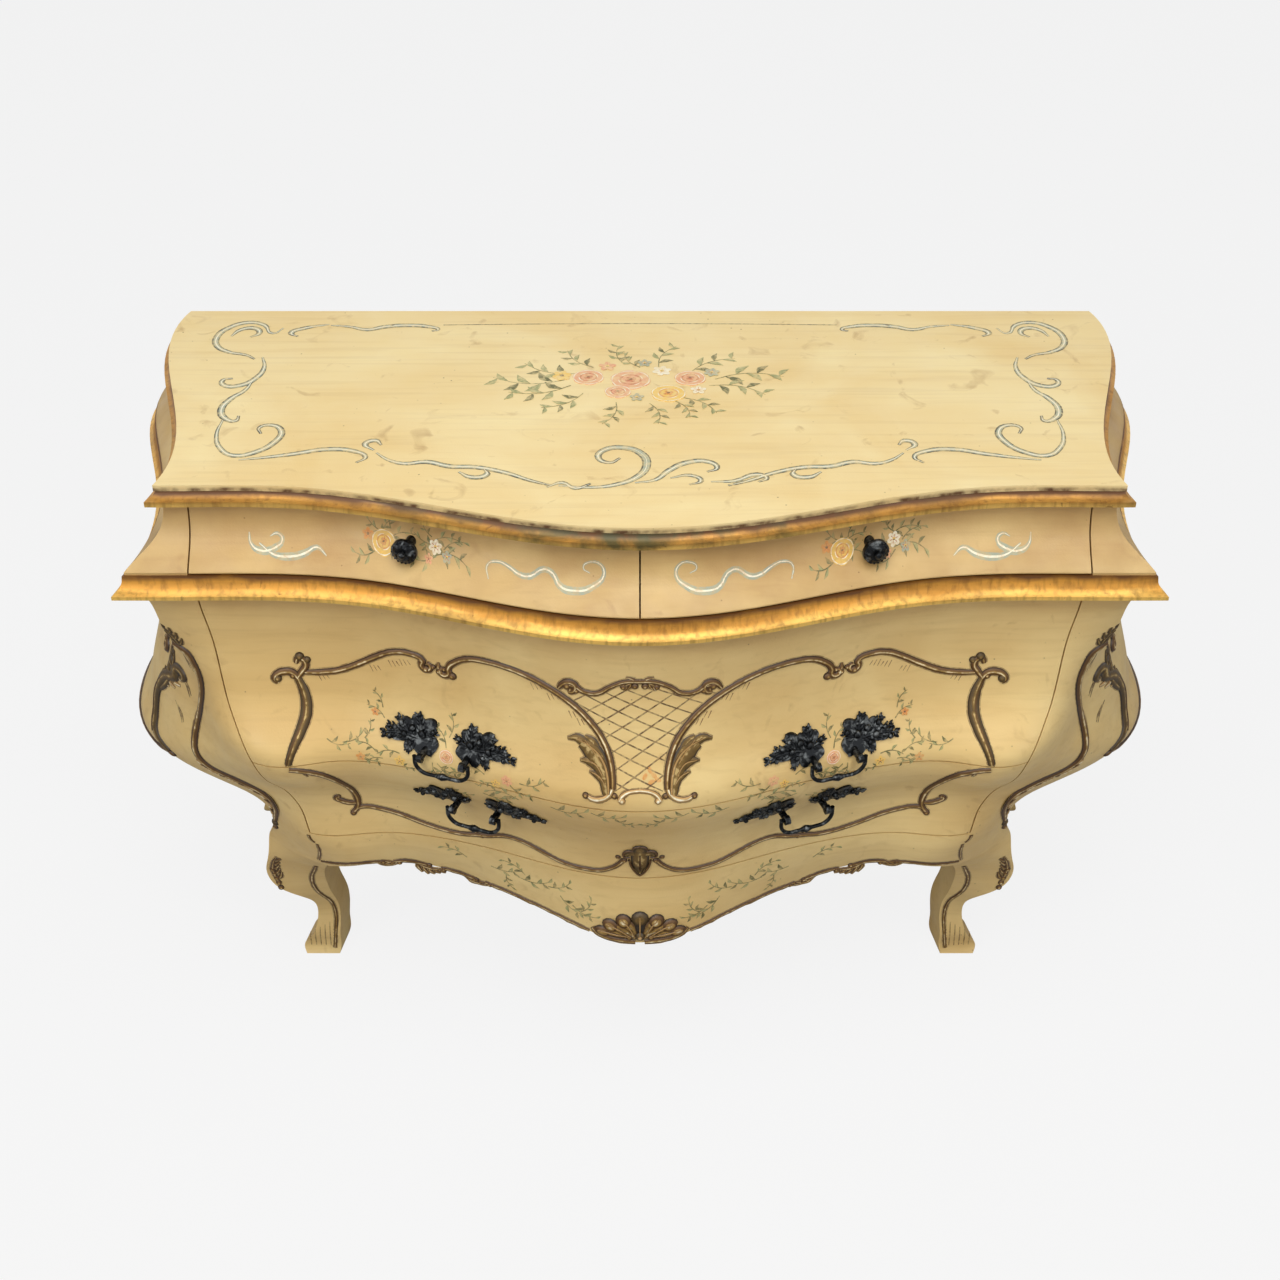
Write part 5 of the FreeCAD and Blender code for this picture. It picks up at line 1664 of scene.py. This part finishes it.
@dataclass
class SideCarving:
    """Cartouche on each swelling side, right side drawn, its first axis running to the back."""

    hollow: tuple[Pair, ...] = ((-92, 552), (-72, 536), (-58, 512), (-52, 484), (-56, 456),
                                (-66, 434), (-84, 418))
    foot: tuple[Pair, ...] = ((-84, 418), (-60, 408), (-20, 412), (30, 424), (80, 428),
                              (130, 424), (176, 412), (206, 414), (222, 428))
    rear: tuple[Pair, ...] = ((222, 428), (214, 456), (216, 490), (226, 524), (230, 560),
                              (222, 592), (206, 614))
    crown: tuple[Pair, ...] = ((-60, 640), (-20, 632), (20, 640), (60, 656), (96, 660),
                               (136, 648), (170, 630), (206, 614))

    def build(self, bench: Bench, ground: Ground) -> None:
        """Carve it.

        Args:
            bench: The frame and the finishes.
            ground: The right side of the chest.
        """
        work = bench.carving("side_cartouche")
        work.stroke(curl(self.hollow[0], 60, 10.0, 1)[::-1] + list(self.hollow),
                    [3.6, 5.0, 6.6, 8.2, 8.4, 7.4, 5.4], 0.6, Gilt.LEAF)
        work.stroke([(-90, 549), (-69, 533), (-54, 510), (-48, 484), (-52, 456), (-62, 434)],
                    [0.9, 1.4, 1.7, 1.7, 1.5, 1.0], 1.0, Gilt.GOLD, 1, 3.4)
        work.leaf((-56, 500), (-84, 586), 0.12, 26.0, 6, 0.6, Gilt.LEAF, -1)
        # Small leaf in painted highlight.
        work.leaf((-60, 530), (-104, 560), 0.14, 15.0, 4, 0.7, Gilt.HIGHLIGHT)
        work.stroke(self.foot, [5.0] + [4.2] * 8, 0.75)
        work.stroke(self.rear, [4.0, 4.8, 5.0, 4.8, 4.4, 4.0, 3.6], 0.8)
        work.stroke(self.crown, 3.4, 0.8)
        work.stroke([(-60, 640), (-76, 624), (-80, 600), (-74, 580)], [3.4, 3.6, 3.4, 2.6], 0.8)
        for place, size in (((-62, 643), 5.4), ((208, 618), 5.4), ((223, 425), 5.0),
                            ((-86, 415), 5.0), ((94, 664), 5.0), ((80, 424), 4.4)):
            work.bead(place, size, 0.8)
        work.leaf((94, 658), (94, 684), 0.0, 16.0, 4, 0.7, side=0)
        work.leaf((78, 430), (78, 408), 0.0, 12.0, 3, 0.7, side=0)
        bench.seat(work.lay(ground), "carcass", "gilt_wood")


@dataclass
class ApronCarving:
    """Carved scrolls along the apron's lower edge, and the shell in its middle."""

    inner: tuple[Pair, ...] = ((206, 274.5), (184, 272), (160, 269.7), (132, 267), (106, 263),
                               (84, 258.3), (66, 254.5))
    joints: tuple[Pair, ...] = ((344, 290), (322, 287), (282, 285), (262, 280.5), (218, 275),
                                (200, 272.5))
    foot: float = 249.0

    def build(self, bench: Bench, ground: Ground) -> None:
        """Carve it.

        Args:
            bench: The frame and the finishes.
            ground: The front of the chest.
        """
        work = bench.carving("apron_scrolls")
        work.stroke([(428, 283), (412, 287), (392, 290), (366, 292), (344, 291)],
                    [2.4, 3.0, 3.2, 3.2, 2.4], 0.7)
        work.leaf((352, 292), (322, 287), 0.18, 13.0, 4, 0.7, side=-1)
        work.stroke([(330, 289), (314, 291), (298, 288.5), (284, 285)], [2.6, 3.8, 3.6, 2.8], 0.7)
        work.leaf((300, 288), (262, 280), 0.12, 14.0, 5, 0.7, side=1)
        work.stroke([(266, 282.5), (250, 282), (234, 279), (218, 275)], [2.6, 3.8, 3.6, 2.8], 0.7)
        work.leaf((236, 279), (200, 271.5), 0.16, 13.0, 4, 0.7, side=-1)
        work.stroke(self.inner, [2.8, 3.2, 3.0, 2.8, 2.8, 2.8, 2.4], 0.7)
        for place in self.joints:
            work.bead(place, 4.0, 0.8)
        bench.seat(work.lay(ground), "carcass", "gilt_wood")
        self._shell(bench, ground)

    def _shell(self, bench: Bench, ground: Ground) -> None:
        """Shell of seven rounded lobes round a small boss.

        Args:
            bench: The frame and the finishes.
            ground: The front of the chest.
        """
        work = bench.carving("apron_shell_carving")
        for turn, across, up, size, length in (
                (8, 48, 11, 8.6, 1.4), (32, 38, 23, 10.0, 1.2), (60, 21, 32, 10.6, 1.1),
                (90, 0, 37, 11.5, 1.0)):
            shade = Gilt.LEAF if across == 0 else Gilt.GOLD
            for hand in (1, -1) if across else (1,):
                x = hand * across
                spot = (x, self.foot + up)
                work.stroke([(0.15 * x, 257), (0.55 * x, 252 + 0.6 * up), spot],
                            [4.0, 0.8 * size, 0.85 * size], 0.45, shade)
                work.bead(spot, size, 0.55, shade, length, hand * turn)
                # Painted highlight along each lobe.
                work.stroke([(0.3 * x, 258), (0.7 * x, 252 + 0.75 * up),
                             (1.12 * x, 251 + 1.1 * up)], [0.7, 1.3, 0.8], 1.0, Gilt.HIGHLIGHT, 1,
                            0.5 * size)
        for hand in (-1, 1):
            work.stroke([(62 * hand, 262), (56 * hand, 255), (44 * hand, 250.5),
                         (26 * hand, 248.5), (6 * hand, 248)], [2.6, 3.8, 4.2, 4.0, 3.4], 0.7)
        work.bead((0, 258), 7.6, 0.9, Gilt.LEAF)
        # Boss in painted highlight.
        work.bead((0, 258), 3.4, 1.0, Gilt.HIGHLIGHT, base=5.0)
        for x in (-14, 14):
            work.bead((x, 255), 5.0, 0.8)
        bench.seat(work.lay(ground, mirror=False, lift=1.0), "carcass", "gilt_wood", "apron_shell")


# ---------- Painted ornament ----------
class Decorator:
    """Paints scrolls, leaves and flowers flat, and lays them on a face."""

    def __init__(self, name: str, bench: Bench, front: bool = True) -> None:
        """Take up the paints.

        Args:
            name: Name of the painted piece.
            bench: The frame and the finishes.
            front: Whether it lies on the fronts' paint, not on the top's.
        """
        self.bench = bench
        self.work = Drawing(name, bench.finishes.inks(front), COAT_STEP)

    def line(self, points: Path, widths: Sequence[float] | float, rise: float, ink: Ink,
             base: float = 0.0) -> None:
        """Brush a stroke."""
        self.work.stroke(points, widths, rise, ink.slot, 0, base)

    def dot(self, place: Pair, radius: float, rise: float, ink: Ink, length: float = 1.0,
            turn: float = 0.0, sides: int = 8, base: float = 0.0) -> None:
        """Brush a round or oval spot."""
        self.work.bead(place, radius, rise, ink.slot, length, turn, sides, base)

    def lay(self, ground: Ground, body: str, mirror: bool = True) -> None:
        """Lay the paint on a face that rides on a body."""
        self.bench.seat(self.work.lay_paint(ground, mirror), body, "painted_wood")

    def scroll(self, points: Path, width: float, outline: bool = True) -> None:
        """Blue-green ribbon with a dark line along each edge.

        Args:
            points: Where it goes.
            width: Its widest half width.
            outline: Whether it has the dark lines.
        """
        count = len(points)
        halves = tapered(count, width, 0.25, 0.2)
        self.line(points, halves, 0.06, Ink.BLUE)
        self.line(points, [0.28 * half for half in halves], 0.1, Ink.WHITE, 0.15)
        if not outline:
            return
        for hand, dark in ((1, 1.25), (-1, 0.85)):
            edge = []
            for number, point in enumerate(points):
                before = Vector(points[max(0, number - 1)])
                after = Vector(points[min(count - 1, number + 1)])
                along = (after - before).normalized()
                aside = Vector((-along.y, along.x)) * (halves[number] + 0.2) * hand
                edge.append((point[0] + aside.x, point[1] + aside.y))
            self.line(edge, tapered(count, dark, 0.3, 0.9), 0.1, Ink.DARK)

    def leaf(self, place: Pair, length: float, turn: float, ink: Ink = Ink.GREEN) -> None:
        """Pointed leaf with a rib.

        Args:
            place: Its foot.
            length: Its length.
            turn: Its direction, in degrees.
            ink: Its paint.
        """
        middle = polar(polar(place, 0.5 * length, turn), 0.12 * length, turn + 90)
        self.line([place, middle, polar(place, length, turn)], [0.4, 0.2 * length, 0.3], 0.06, ink)
        self.line([place, polar(place, 0.85 * length, turn)], [0.25, 0.35], 0.1, Ink.OLIVE, 0.1)

    def sprig(self, place: Pair, length: float, turn: float, leaves: int) -> None:
        """Bent stem with leaves on both sides.

        Args:
            place: Its foot.
            length: Its length.
            turn: Its direction, in degrees.
            leaves: How many leaves.
        """
        def stem(share: float, bow: float) -> Pair:
            """Point of the stem, by its share of the length."""
            straight = polar(place, length * share, turn)
            return polar(straight, length * bow * math.sin(math.pi * share), turn + 90)

        self.line([stem(share, 0.14) for share in (0, 0.33, 0.66, 1.0)], [0.7, 0.6, 0.5, 0.3], 0.2,
                  Ink.OLIVE)
        for number in range(leaves):
            share = (number + 1) / (leaves + 0.4)
            lean = 48 if number % 2 else -48
            self.leaf(stem(share, 0.13), length * (0.36 - 0.12 * share), turn + lean,
                      Ink.GREEN if number % 3 else Ink.OLIVE)

    def sprigs(self, rows: Sequence[tuple[float, float, float, float]], leaves: int,
               size: float = 1.0) -> None:
        """Several sprigs.

        Args:
            rows: Place across and up, length and direction of each.
            leaves: How many leaves each has.
            size: What their lengths are multiplied by.
        """
        for x, z, length, turn in rows:
            self.sprig((x, z), length * size, turn, leaves)

    def flower(self, place: Pair, radius: float, petals: int, ink: Ink, heart: Ink) -> None:
        """Open flower of round petals with darker strokes and a heart.

        Args:
            place: Its middle.
            radius: Its half width.
            petals: How many petals.
            ink: The petals' paint.
            heart: The heart's paint.
        """
        shade = Ink.BROWN if ink is Ink.YELLOW else Ink.ROSE
        for number in range(petals):
            turn = 360 / petals * number + 17
            self.dot(polar(place, 0.58 * radius, turn), 0.36 * radius, 0.05, ink, 1.35, turn)
            self.line([polar(place, 0.25 * radius, turn), polar(place, 0.6 * radius, turn)],
                      [0.3, 0.5], 0.1, shade, 0.16)
        self.dot(place, 0.24 * radius, 0.1, heart, base=0.2)
        self.dot((place[0], place[1] - 0.1 * radius), 0.1 * radius, 0.1, Ink.DARK, 1.6, sides=6,
                 base=0.36)

    def rose(self, place: Pair, radius: float, ink: Ink = Ink.PINK, fold: Ink = Ink.ROSE) -> None:
        """Full rose: two rings of lapped petals with pale rims round a dark heart.

        Args:
            place: Its middle.
            radius: Its half width.
            ink: The petals' paint.
            fold: The paint of the folds between them.
        """
        for ring, count, size in ((0.72, 6, 0.44), (0.4, 4, 0.36)):
            for number in range(count):
                turn = 360 / count * number + 12 + 40 * ring
                self.dot(polar(place, ring * radius, turn, 0.9), size * radius, 0.03, ink, 1.3,
                         turn + 90, 10)
                for out, spread, width, coat, base in ((0.75, 0.5, 0.045, Ink.WHITE, 0.2),
                                                       (-0.35, 0.55, 0.075, fold, 0.34)):
                    reach = (ring + size * out) * radius
                    arc = [polar(place, reach, turn + math.degrees(lean), 0.9)
                           for lean in (-spread, 0.0, spread)]
                    self.line(arc, [0.3, width * radius, 0.3], 0.1, coat, base)
        self.dot(place, 0.18 * radius, 0.08, fold, 1.4, 25.0, 8, 0.3)
        self.dot(place, 0.08 * radius, 0.1, Ink.BROWN, 1.6, 25.0, 6, 0.6)

    def flowers(self, *rows: tuple[float, float, float, int, Ink, Ink]) -> None:
        """Several flowers: place across and up, half width, petals, paint and heart's paint."""
        for x, z, radius, petals, ink, heart in rows:
            self.flower((x, z), radius, petals, ink, heart)


@dataclass
class TopPainting:
    """Scroll border and bouquet on the top board."""

    runs: tuple[tuple[Pair, ...], ...] = (
        ((474, 254), (486, 240), (500, 262), (522, 270), (546, 256), (558, 232), (554, 206),
         (536, 190), (512, 182), (500, 172)),
        ((540, 232), (530, 250), (512, 254), (504, 240), (514, 230)),
        ((490, 176), (484, 150), (490, 124), (508, 104), (528, 104), (532, 118), (520, 122)),
        ((494, 116), (500, 92), (514, 72), (522, 44), (512, 22), (500, 18), (498, 30)),
        ((516, 20), (518, -14), (508, -46), (490, -62), (464, -54), (444, -30), (440, -6),
         (454, 8), (468, 2), (464, -12)),
        ((482, -72), (450, -66), (416, -58), (380, -48), (346, -52), (330, -66), (340, -78)),
        ((318, -56), (302, -72), (282, -80), (256, -76), (228, -86), (196, -88), (160, -100),
         (128, -118), (104, -128)),
        ((322, -50), (334, -36), (322, -28), (314, -38)),
        ((216, -98), (200, -110), (182, -104), (186, -92)),
        ((414, 264), (446, 254), (462, 240), (452, 232)),
        ((412, 262), (386, 258), (362, 250), (340, 258), (312, 262), (280, 258), (268, 250),
         (276, 246)),
    )
    width: float = 3.7

    def build(self, bench: Bench, ground: Ground) -> None:
        """Paint it.

        Args:
            bench: The frame and the finishes.
            ground: The top.
        """
        hand = Decorator("top_border_paint", bench, front=False)
        for points in self.runs:
            hand.scroll(points, self.width)
        hand.lay(ground, "carcass")
        self._middle(bench, ground)
        self._bouquet(bench, ground)

    @staticmethod
    def _middle(bench: Bench, ground: Ground) -> None:
        """Flourish at the middle of the front edge, and the thin line along the back.

        Args:
            bench: The frame and the finishes.
            ground: The top.
        """
        hand = Decorator("top_flourish_paint", bench, front=False)
        for points, width in (
                (((-96, -128), (-60, -132), (-28, -126), (-2, -108), (8, -84), (2, -58),
                  (-20, -44), (-44, -50), (-50, -68), (-36, -78), (-24, -68)), 4.4),
                (((-6, -122), (18, -116), (34, -96), (56, -78), (82, -76), (92, -90), (80, -98)),
                 3.8),
                (((36, -112), (60, -106), (72, -118), (58, -126)), 2.6),
                (((84, -120), (112, -118), (140, -104), (150, -112), (140, -120)), 3.2),
                (((-110, -132), (-92, -122), (-76, -134), (-58, -124)), 2.8)):
            hand.scroll(points, width)
        hand.line([(-262, 263), (-120, 266), (120, 266), (262, 263)], 0.8, 0.2, Ink.DARK)
        for side in (-1, 1):
            hand.dot((side * 330, 262), 2.2, 0.2, Ink.DARK, 1.8, -20 * side)
        hand.lay(ground, "carcass", mirror=False)

    @staticmethod
    def _bouquet(bench: Bench, ground: Ground) -> None:
        """Spreading bouquet of roses and small flowers.

        Args:
            bench: The frame and the finishes.
            ground: The top.
        """
        hand = Decorator("top_bouquet_paint", bench, front=False)
        hand.sprigs(((-96, 118, 92, 176), (-84, 134, 70, 158), (-60, 150, 56, 128),
                     (-20, 158, 50, 98), (24, 152, 58, 66), (64, 136, 70, 32), (96, 120, 88, 4),
                     (88, 104, 74, -18), (54, 74, 56, -42), (12, 60, 50, -78), (-30, 62, 54, -108),
                     (-72, 84, 62, -146), (-88, 104, 80, -168), (0, 150, 44, 118),
                     (44, 66, 44, -66)), 6)
        hand.rose((-12, 118), 23)
        hand.rose((-66, 124), 18)
        hand.rose((64, 122), 18)
        hand.rose((36, 84), 20, Ink.YELLOW, Ink.ORANGE)
        hand.rose((-28, 88), 15)
        hand.flowers((28, 140, 12, 6, Ink.WHITE, Ink.YELLOW),
                     (-42, 152, 11, 5, Ink.PINK, Ink.YELLOW),
                     (-100, 128, 12, 6, Ink.YELLOW, Ink.BROWN),
                     (92, 136, 10, 6, Ink.BLUE, Ink.YELLOW),
                     (6, 160, 9, 5, Ink.BLUE, Ink.YELLOW),
                     (74, 92, 10, 5, Ink.WHITE, Ink.ORANGE),
                     (-4, 74, 9, 5, Ink.BLUE, Ink.YELLOW))
        hand.lay(ground, "carcass", mirror=False)


@dataclass
class FriezePainting:
    """Pale scrolls and flower sprays on the frieze drawers, right drawer drawn."""

    knob: float = 272.0
    scrolls: tuple[tuple[Pair, ...], ...] = (
        ((468, 800), (466, 790), (454, 784), (438, 786), (428, 793), (434, 799), (443, 796)),
        ((456, 790), (440, 782), (420, 780), (400, 783), (386, 788), (374, 782)),
        ((178, 783), (180, 793), (168, 799), (154, 796), (142, 791), (128, 791), (112, 799),
         (102, 796), (94, 787), (76, 784), (54, 789), (42, 799), (46, 810), (58, 812),
         (66, 805), (58, 800)),
    )
    width: float = 3.2

    def build(self, bench: Bench, ground: Ground) -> None:
        """Paint both drawers.

        Args:
            bench: The frame and the finishes.
            ground: The front of the chest.
        """
        for side, word in ((1, "right"), (-1, "left")):
            hand = Decorator(f"frieze_{word}_paint", bench)
            for points in self.scrolls:
                hand.scroll([(side * x, z) for x, z in points], self.width, outline=False)
            for x, z, length, turn in ((300, 800, 34, 160), (306, 808, 26, 130),
                                       (304, 792, 26, 200), (240, 804, 30, 20),
                                       (238, 796, 34, -12), (226, 800, 30, 5),
                                       (246, 812, 22, 60), (296, 814, 20, 100)):
                heading = turn if side > 0 else 180 - turn
                hand.sprig((side * x, z), length, heading, 4)
            middle = side * self.knob
            for x, z, length, turn in ((-26, 808, 30, 150), (-40, 792, 30, 190),
                                       (26, 806, 34, 12), (30, 794, 40, -8), (40, 800, 30, 24)):
                hand.sprig((middle + x, z), length, turn, 5)
            hand.rose((middle - 33, 799), 13, Ink.YELLOW, Ink.ORANGE)
            hand.flowers((middle - 33, 799, 6, 6, Ink.ORANGE, Ink.BROWN),
                         (middle - 52, 805, 7, 5, Ink.ORANGE, Ink.BROWN),
                         (middle + 30, 802, 8, 6, Ink.WHITE, Ink.YELLOW),
                         (middle + 44, 794, 6, 5, Ink.BLUE, Ink.YELLOW),
                         (middle + 22, 790, 5, 5, Ink.PINK, Ink.ROSE))
            hand.lay(ground, f"frieze_drawer_{word}", mirror=False)


@dataclass
class FrontPainting:
    """Sprays round the handles, hatch strokes, and foliage on the lower drawer and apron."""

    hatches: tuple[Pair, ...] = ((330, 618), (306, 628), (292, 632), (128, 640), (108, 630),
                                 (82, 612), (72, 604), (396, 600))

    def build(self, bench: Bench, ground: Ground) -> None:
        """Paint the wide drawers and the apron.

        Args:
            bench: The frame and the finishes.
            ground: The front of the chest.
        """
        hand = Decorator("upper_drawer_paint", bench)
        for x, z in self.hatches:
            for step in range(3):
                hand.line([(x - 5 * step, z + 1.5 * step), (x - 5 * step + 4, z + 9)],
                          [0.35, 0.7], 0.3, Ink.BROWN)
        hand.sprigs(((392, 534, 40, 190), (372, 530, 44, 150), (352, 520, 40, 205),
                     (330, 522, 36, 20), (322, 514, 30, 340), (258, 520, 30, 250),
                     (238, 518, 34, 300), (192, 520, 36, 10), (182, 510, 30, 330),
                     (344, 536, 30, 110), (300, 512, 26, 200)), 4, 0.75)
        hand.sprigs(((236, 552, 30, 96), (240, 540, 26, 60), (252, 520, 26, 200),
                     (300, 524, 30, 350), (148, 520, 34, 160), (160, 514, 30, 200),
                     (214, 512, 30, 350), (318, 560, 26, 30), (320, 572, 24, 60)), 4)
        hand.flowers((350, 513, 6, 5, Ink.ORANGE, Ink.BROWN),
                     (164, 519, 7, 6, Ink.PINK, Ink.ROSE),
                     (178, 511, 6, 5, Ink.YELLOW, Ink.ORANGE))
        hand.rose((240, 530), 8)
        hand.flowers((256, 541, 5, 5, Ink.WHITE, Ink.YELLOW),
                     (300, 514, 7, 5, Ink.YELLOW, Ink.ORANGE),
                     (330, 566, 5, 5, Ink.ORANGE, Ink.BROWN))
        hand.lay(ground, "upper_drawer")

        hand = Decorator("lower_drawer_paint", bench)
        hand.sprigs(((60, 497, 40, 184), (110, 494, 44, 176), (150, 492, 40, 4),
                     (196, 486, 40, 172), (240, 478, 30, 190), (30, 488, 30, 200)), 5)
        hand.lay(ground, "lower_drawer")

        hand = Decorator("apron_paint", bench)
        hand.sprigs(((228, 322, 36, 20), (196, 316, 40, 170), (160, 310, 44, 168),
                     (150, 318, 34, 30), (120, 310, 34, 150), (104, 300, 40, 215),
                     (88, 290, 34, 200), (78, 282, 30, 120), (176, 306, 26, 250)), 5)
        hand.lay(ground, "carcass")


# ---------- Knobs and handles ----------
@dataclass
class Foliage:
    """Cast leaves and berries over the plates of one row of handles, right handle drawn."""

    row: str
    inner: Pair
    outer: Pair
    relief: float = 2.2

    def build(self, bench: Bench, ground: Ground) -> None:
        """Model them.

        Args:
            bench: The frame and the finishes.
            ground: The front of the chest.
        """
        work = Drawing(f"{self.row}_foliage", [bench.finishes["dark_metal"]])
        for post, way, long in ((self.outer, 1, 57.0), (self.inner, -1, 61.0)):
            def at(x: float, z: float) -> Pair:
                """Place beside the post."""
                return post[0] + way * x, post[1] + z

            for foot, tip, width, lobes in (
                    ((10, 10), (long, 9), 12.0, 6), ((6, 12), (9, 38), 11.0, 5),
                    ((20, 13), (36, 31), 10.0, 4), ((2, 12), (-16, 21), 8.5, 3),
                    ((12, 8), (25, -8), 8.0, 3), ((30, 11), (50, 20), 9.0, 3)):
                work.leaf(at(*foot), at(*tip), 0.06 * way, width, lobes, 0.9, side=0,
                          lift=self.relief)
            for x, z, radius in ((4, 15, 5.0), (16, 20, 4.6), (27, 12, 4.2), (39, 18, 3.6),
                                 (-10, 19, 3.6), (30, 24, 3.8), (20, 4, 3.4), (46, 7, 3.2)):
                work.bead(at(x, z), radius, 0.9, base=self.relief + 1.6)
        bench.seat(work.lay(ground), f"{self.row}_drawer", "dark_metal")


@dataclass
class Rosette:
    """Beads and petals round the face of a frieze drawer's knob."""

    side: str
    reach: float = 32.0
    slope: float = 0.2765
    beads: int = 18
    bead: float = 1.7
    ring: float = 14.0
    ring_height: float = 25.4
    petals: int = 8
    petal_reach: Spot = (5.0, 8.0, 11.2)
    petal_widths: Spot = (1.4, 2.3, 1.2)
    petal_height: float = 28.0
    heart: float = 4.8
    heart_height: float = 31.6

    def build(self, bench: Bench) -> None:
        """Model it on the knob's face.

        Args:
            bench: The frame and the finishes.
        """
        hand = 1 if self.side == "right" else -1
        out = np.array((hand * self.slope, -math.sqrt(1 - self.slope ** 2), 0.0))
        aside = np.array((-out[1], out[0], 0.0))
        knob = vertices(bench.nodes[f"frieze_{self.side}_knob"])
        ends = knob @ out
        centre = knob[ends > ends.max() - 0.0001].mean(axis=0) - out * self.reach * MM
        work = Drawing(f"frieze_{self.side}_rosette", [bench.finishes["dark_metal"]])
        for number in range(self.beads):
            spot = polar((0, 0), self.ring, 360 / self.beads * number)
            work.bead(spot, self.bead, 1.0, sides=8, base=self.ring_height)
        for number in range(self.petals):
            turn = 360 / self.petals * number
            petal = [polar((0, 0), reach, turn) for reach in self.petal_reach]
            work.stroke(petal, self.petal_widths, 0.6, 0, 1, self.petal_height)
        work.bead((0, 0), self.heart, 0.7, base=self.heart_height)
        made = work.finish()
        flat = vertices(made)
        place_vertices(made, centre + flat[:, :1] * aside + flat[:, 1:2] * np.array((0, 0, 1.0))
                       + flat[:, 2:3] * out)
        outward(made)
        smooth(made, 50.0)
        bench.seat(made, f"frieze_drawer_{self.side}", "dark_metal")


@dataclass
class Metalwork:
    """Knobs, backplates and bails.

    Lengths of the plates' notches are in metres, and their depths are shares of the way in.
    """

    upper: tuple[Pair, Pair] = ((212.4, 535.0), (265.6, 535.0))
    lower: tuple[Pair, Pair] = ((177.8, 441.0), (230.2, 441.0))
    shift: Pair = (13.7, 15.5)
    plate_reach: float = 0.044
    plate_depths: Pair = (-0.0012, 0.0055)
    whole: float = 0.009
    fade: float = 0.01
    deepest: float = 0.6
    swell: float = 0.26
    leaves: float = 3.5

    def build(self, bench: Bench, ground: Ground) -> None:
        """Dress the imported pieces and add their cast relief.

        Args:
            bench: The frame and the finishes.
            ground: The front of the chest.
        """
        for row, posts in (("upper", self.upper), ("lower", self.lower)):
            for side, hand in (("left", -1), ("right", 1)):
                plates = bench.smooth_copy(f"{row}_{side}_plates", "dark_metal", "dark_metal")
                self._notch(plates, ground, hand, posts)
                bench.smooth_copy(f"{row}_{side}_bail", "dark_metal", "dark_metal", 60.0)
            Foliage(row, *posts).build(bench, ground)
        for side in ("left", "right"):
            bench.smooth_copy(f"frieze_{side}_knob", "dark_metal", "dark_metal")
            Rosette(side).build(bench)

    def _notch(self, item: bpy.types.Object, ground: Ground, hand: int,
               posts: tuple[Pair, Pair]) -> None:
        """Notch the outline of a pair of plates between its leaves.

        Args:
            item: The plates.
            ground: The front of the chest.
            hand: 1 on the right half, -1 on the left.
            posts: The right handle's posts, inner one first.
        """
        places = vertices(item)
        flat = np.column_stack((places[:, 0], places[:, 2], np.zeros(len(places))))
        rise = ground.lay(flat)[:, 1] - places[:, 1]
        for post, way in zip(posts, (-1, 1)):
            post_x, post_z = hand * post[0] * MM, post[1] * MM
            middle = np.array((post_x + hand * way * self.shift[0] * MM,
                               post_z + self.shift[1] * MM))
            away = flat[:, :2] - middle
            turn = np.arctan2(away[:, 1], away[:, 0] * hand * way)
            near_post = np.hypot(flat[:, 0] - post_x, flat[:, 1] - post_z)
            mine = ((rise > self.plate_depths[0]) & (rise < self.plate_depths[1])
                    & (near_post > self.whole) & (np.hypot(*away.T) < self.plate_reach))
            share = self.deepest + self.swell * np.abs(np.cos(self.leaves * turn + 0.4))
            kept = np.clip((near_post - self.whole) / self.fade, 0, 1)
            share = 1 - (1 - share) * kept
            flat[mine, :2] = middle + away[mine] * share[mine, None]
        moved = ground.lay(flat)
        moved[:, 1] -= rise
        place_vertices(item, moved)
        outward(item)


# ---------- The chest ----------
def main() -> None:
    """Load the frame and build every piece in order."""
    logging.basicConfig(level=logging.INFO, format="%(message)s")
    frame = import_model()
    bpy.context.scene.view_settings.view_transform = "Standard"
    Stage().build()
    bench = Bench(frame, Finishes())
    front = bench.ground(FRONT_FACES, ACROSS, UP, (-560, 3), (560, 843))
    corner = bench.ground(("front_stile_right", "side_panel_right", "side_apron_right"),
                          Vector((0.62, 0.785, 0)), UP, (180, 203), (420, 739))
    side = bench.ground(("side_panel_right", "side_apron_right", "rear_post_right",
                         "front_stile_right"), BACK, UP, (-150, 303), (300, 739))
    top = bench.ground(("top_board",), ACROSS, BACK, (-640, -225), (640, 303), 16.0)
    PaintedShell().build(bench)
    GiltMouldings().build(bench)
    Inside().build(bench)
    UpperCarving().build(bench, front)
    LowerCarving().build(bench, front)
    CornerCarving().build(bench, corner, front)
    SideCarving().build(bench, side)
    ApronCarving().build(bench, front)
    TopPainting().build(bench, top)
    FriezePainting().build(bench, front)
    FrontPainting().build(bench, front)
    Metalwork().build(bench, front)


if __name__ == "__main__":
    main()
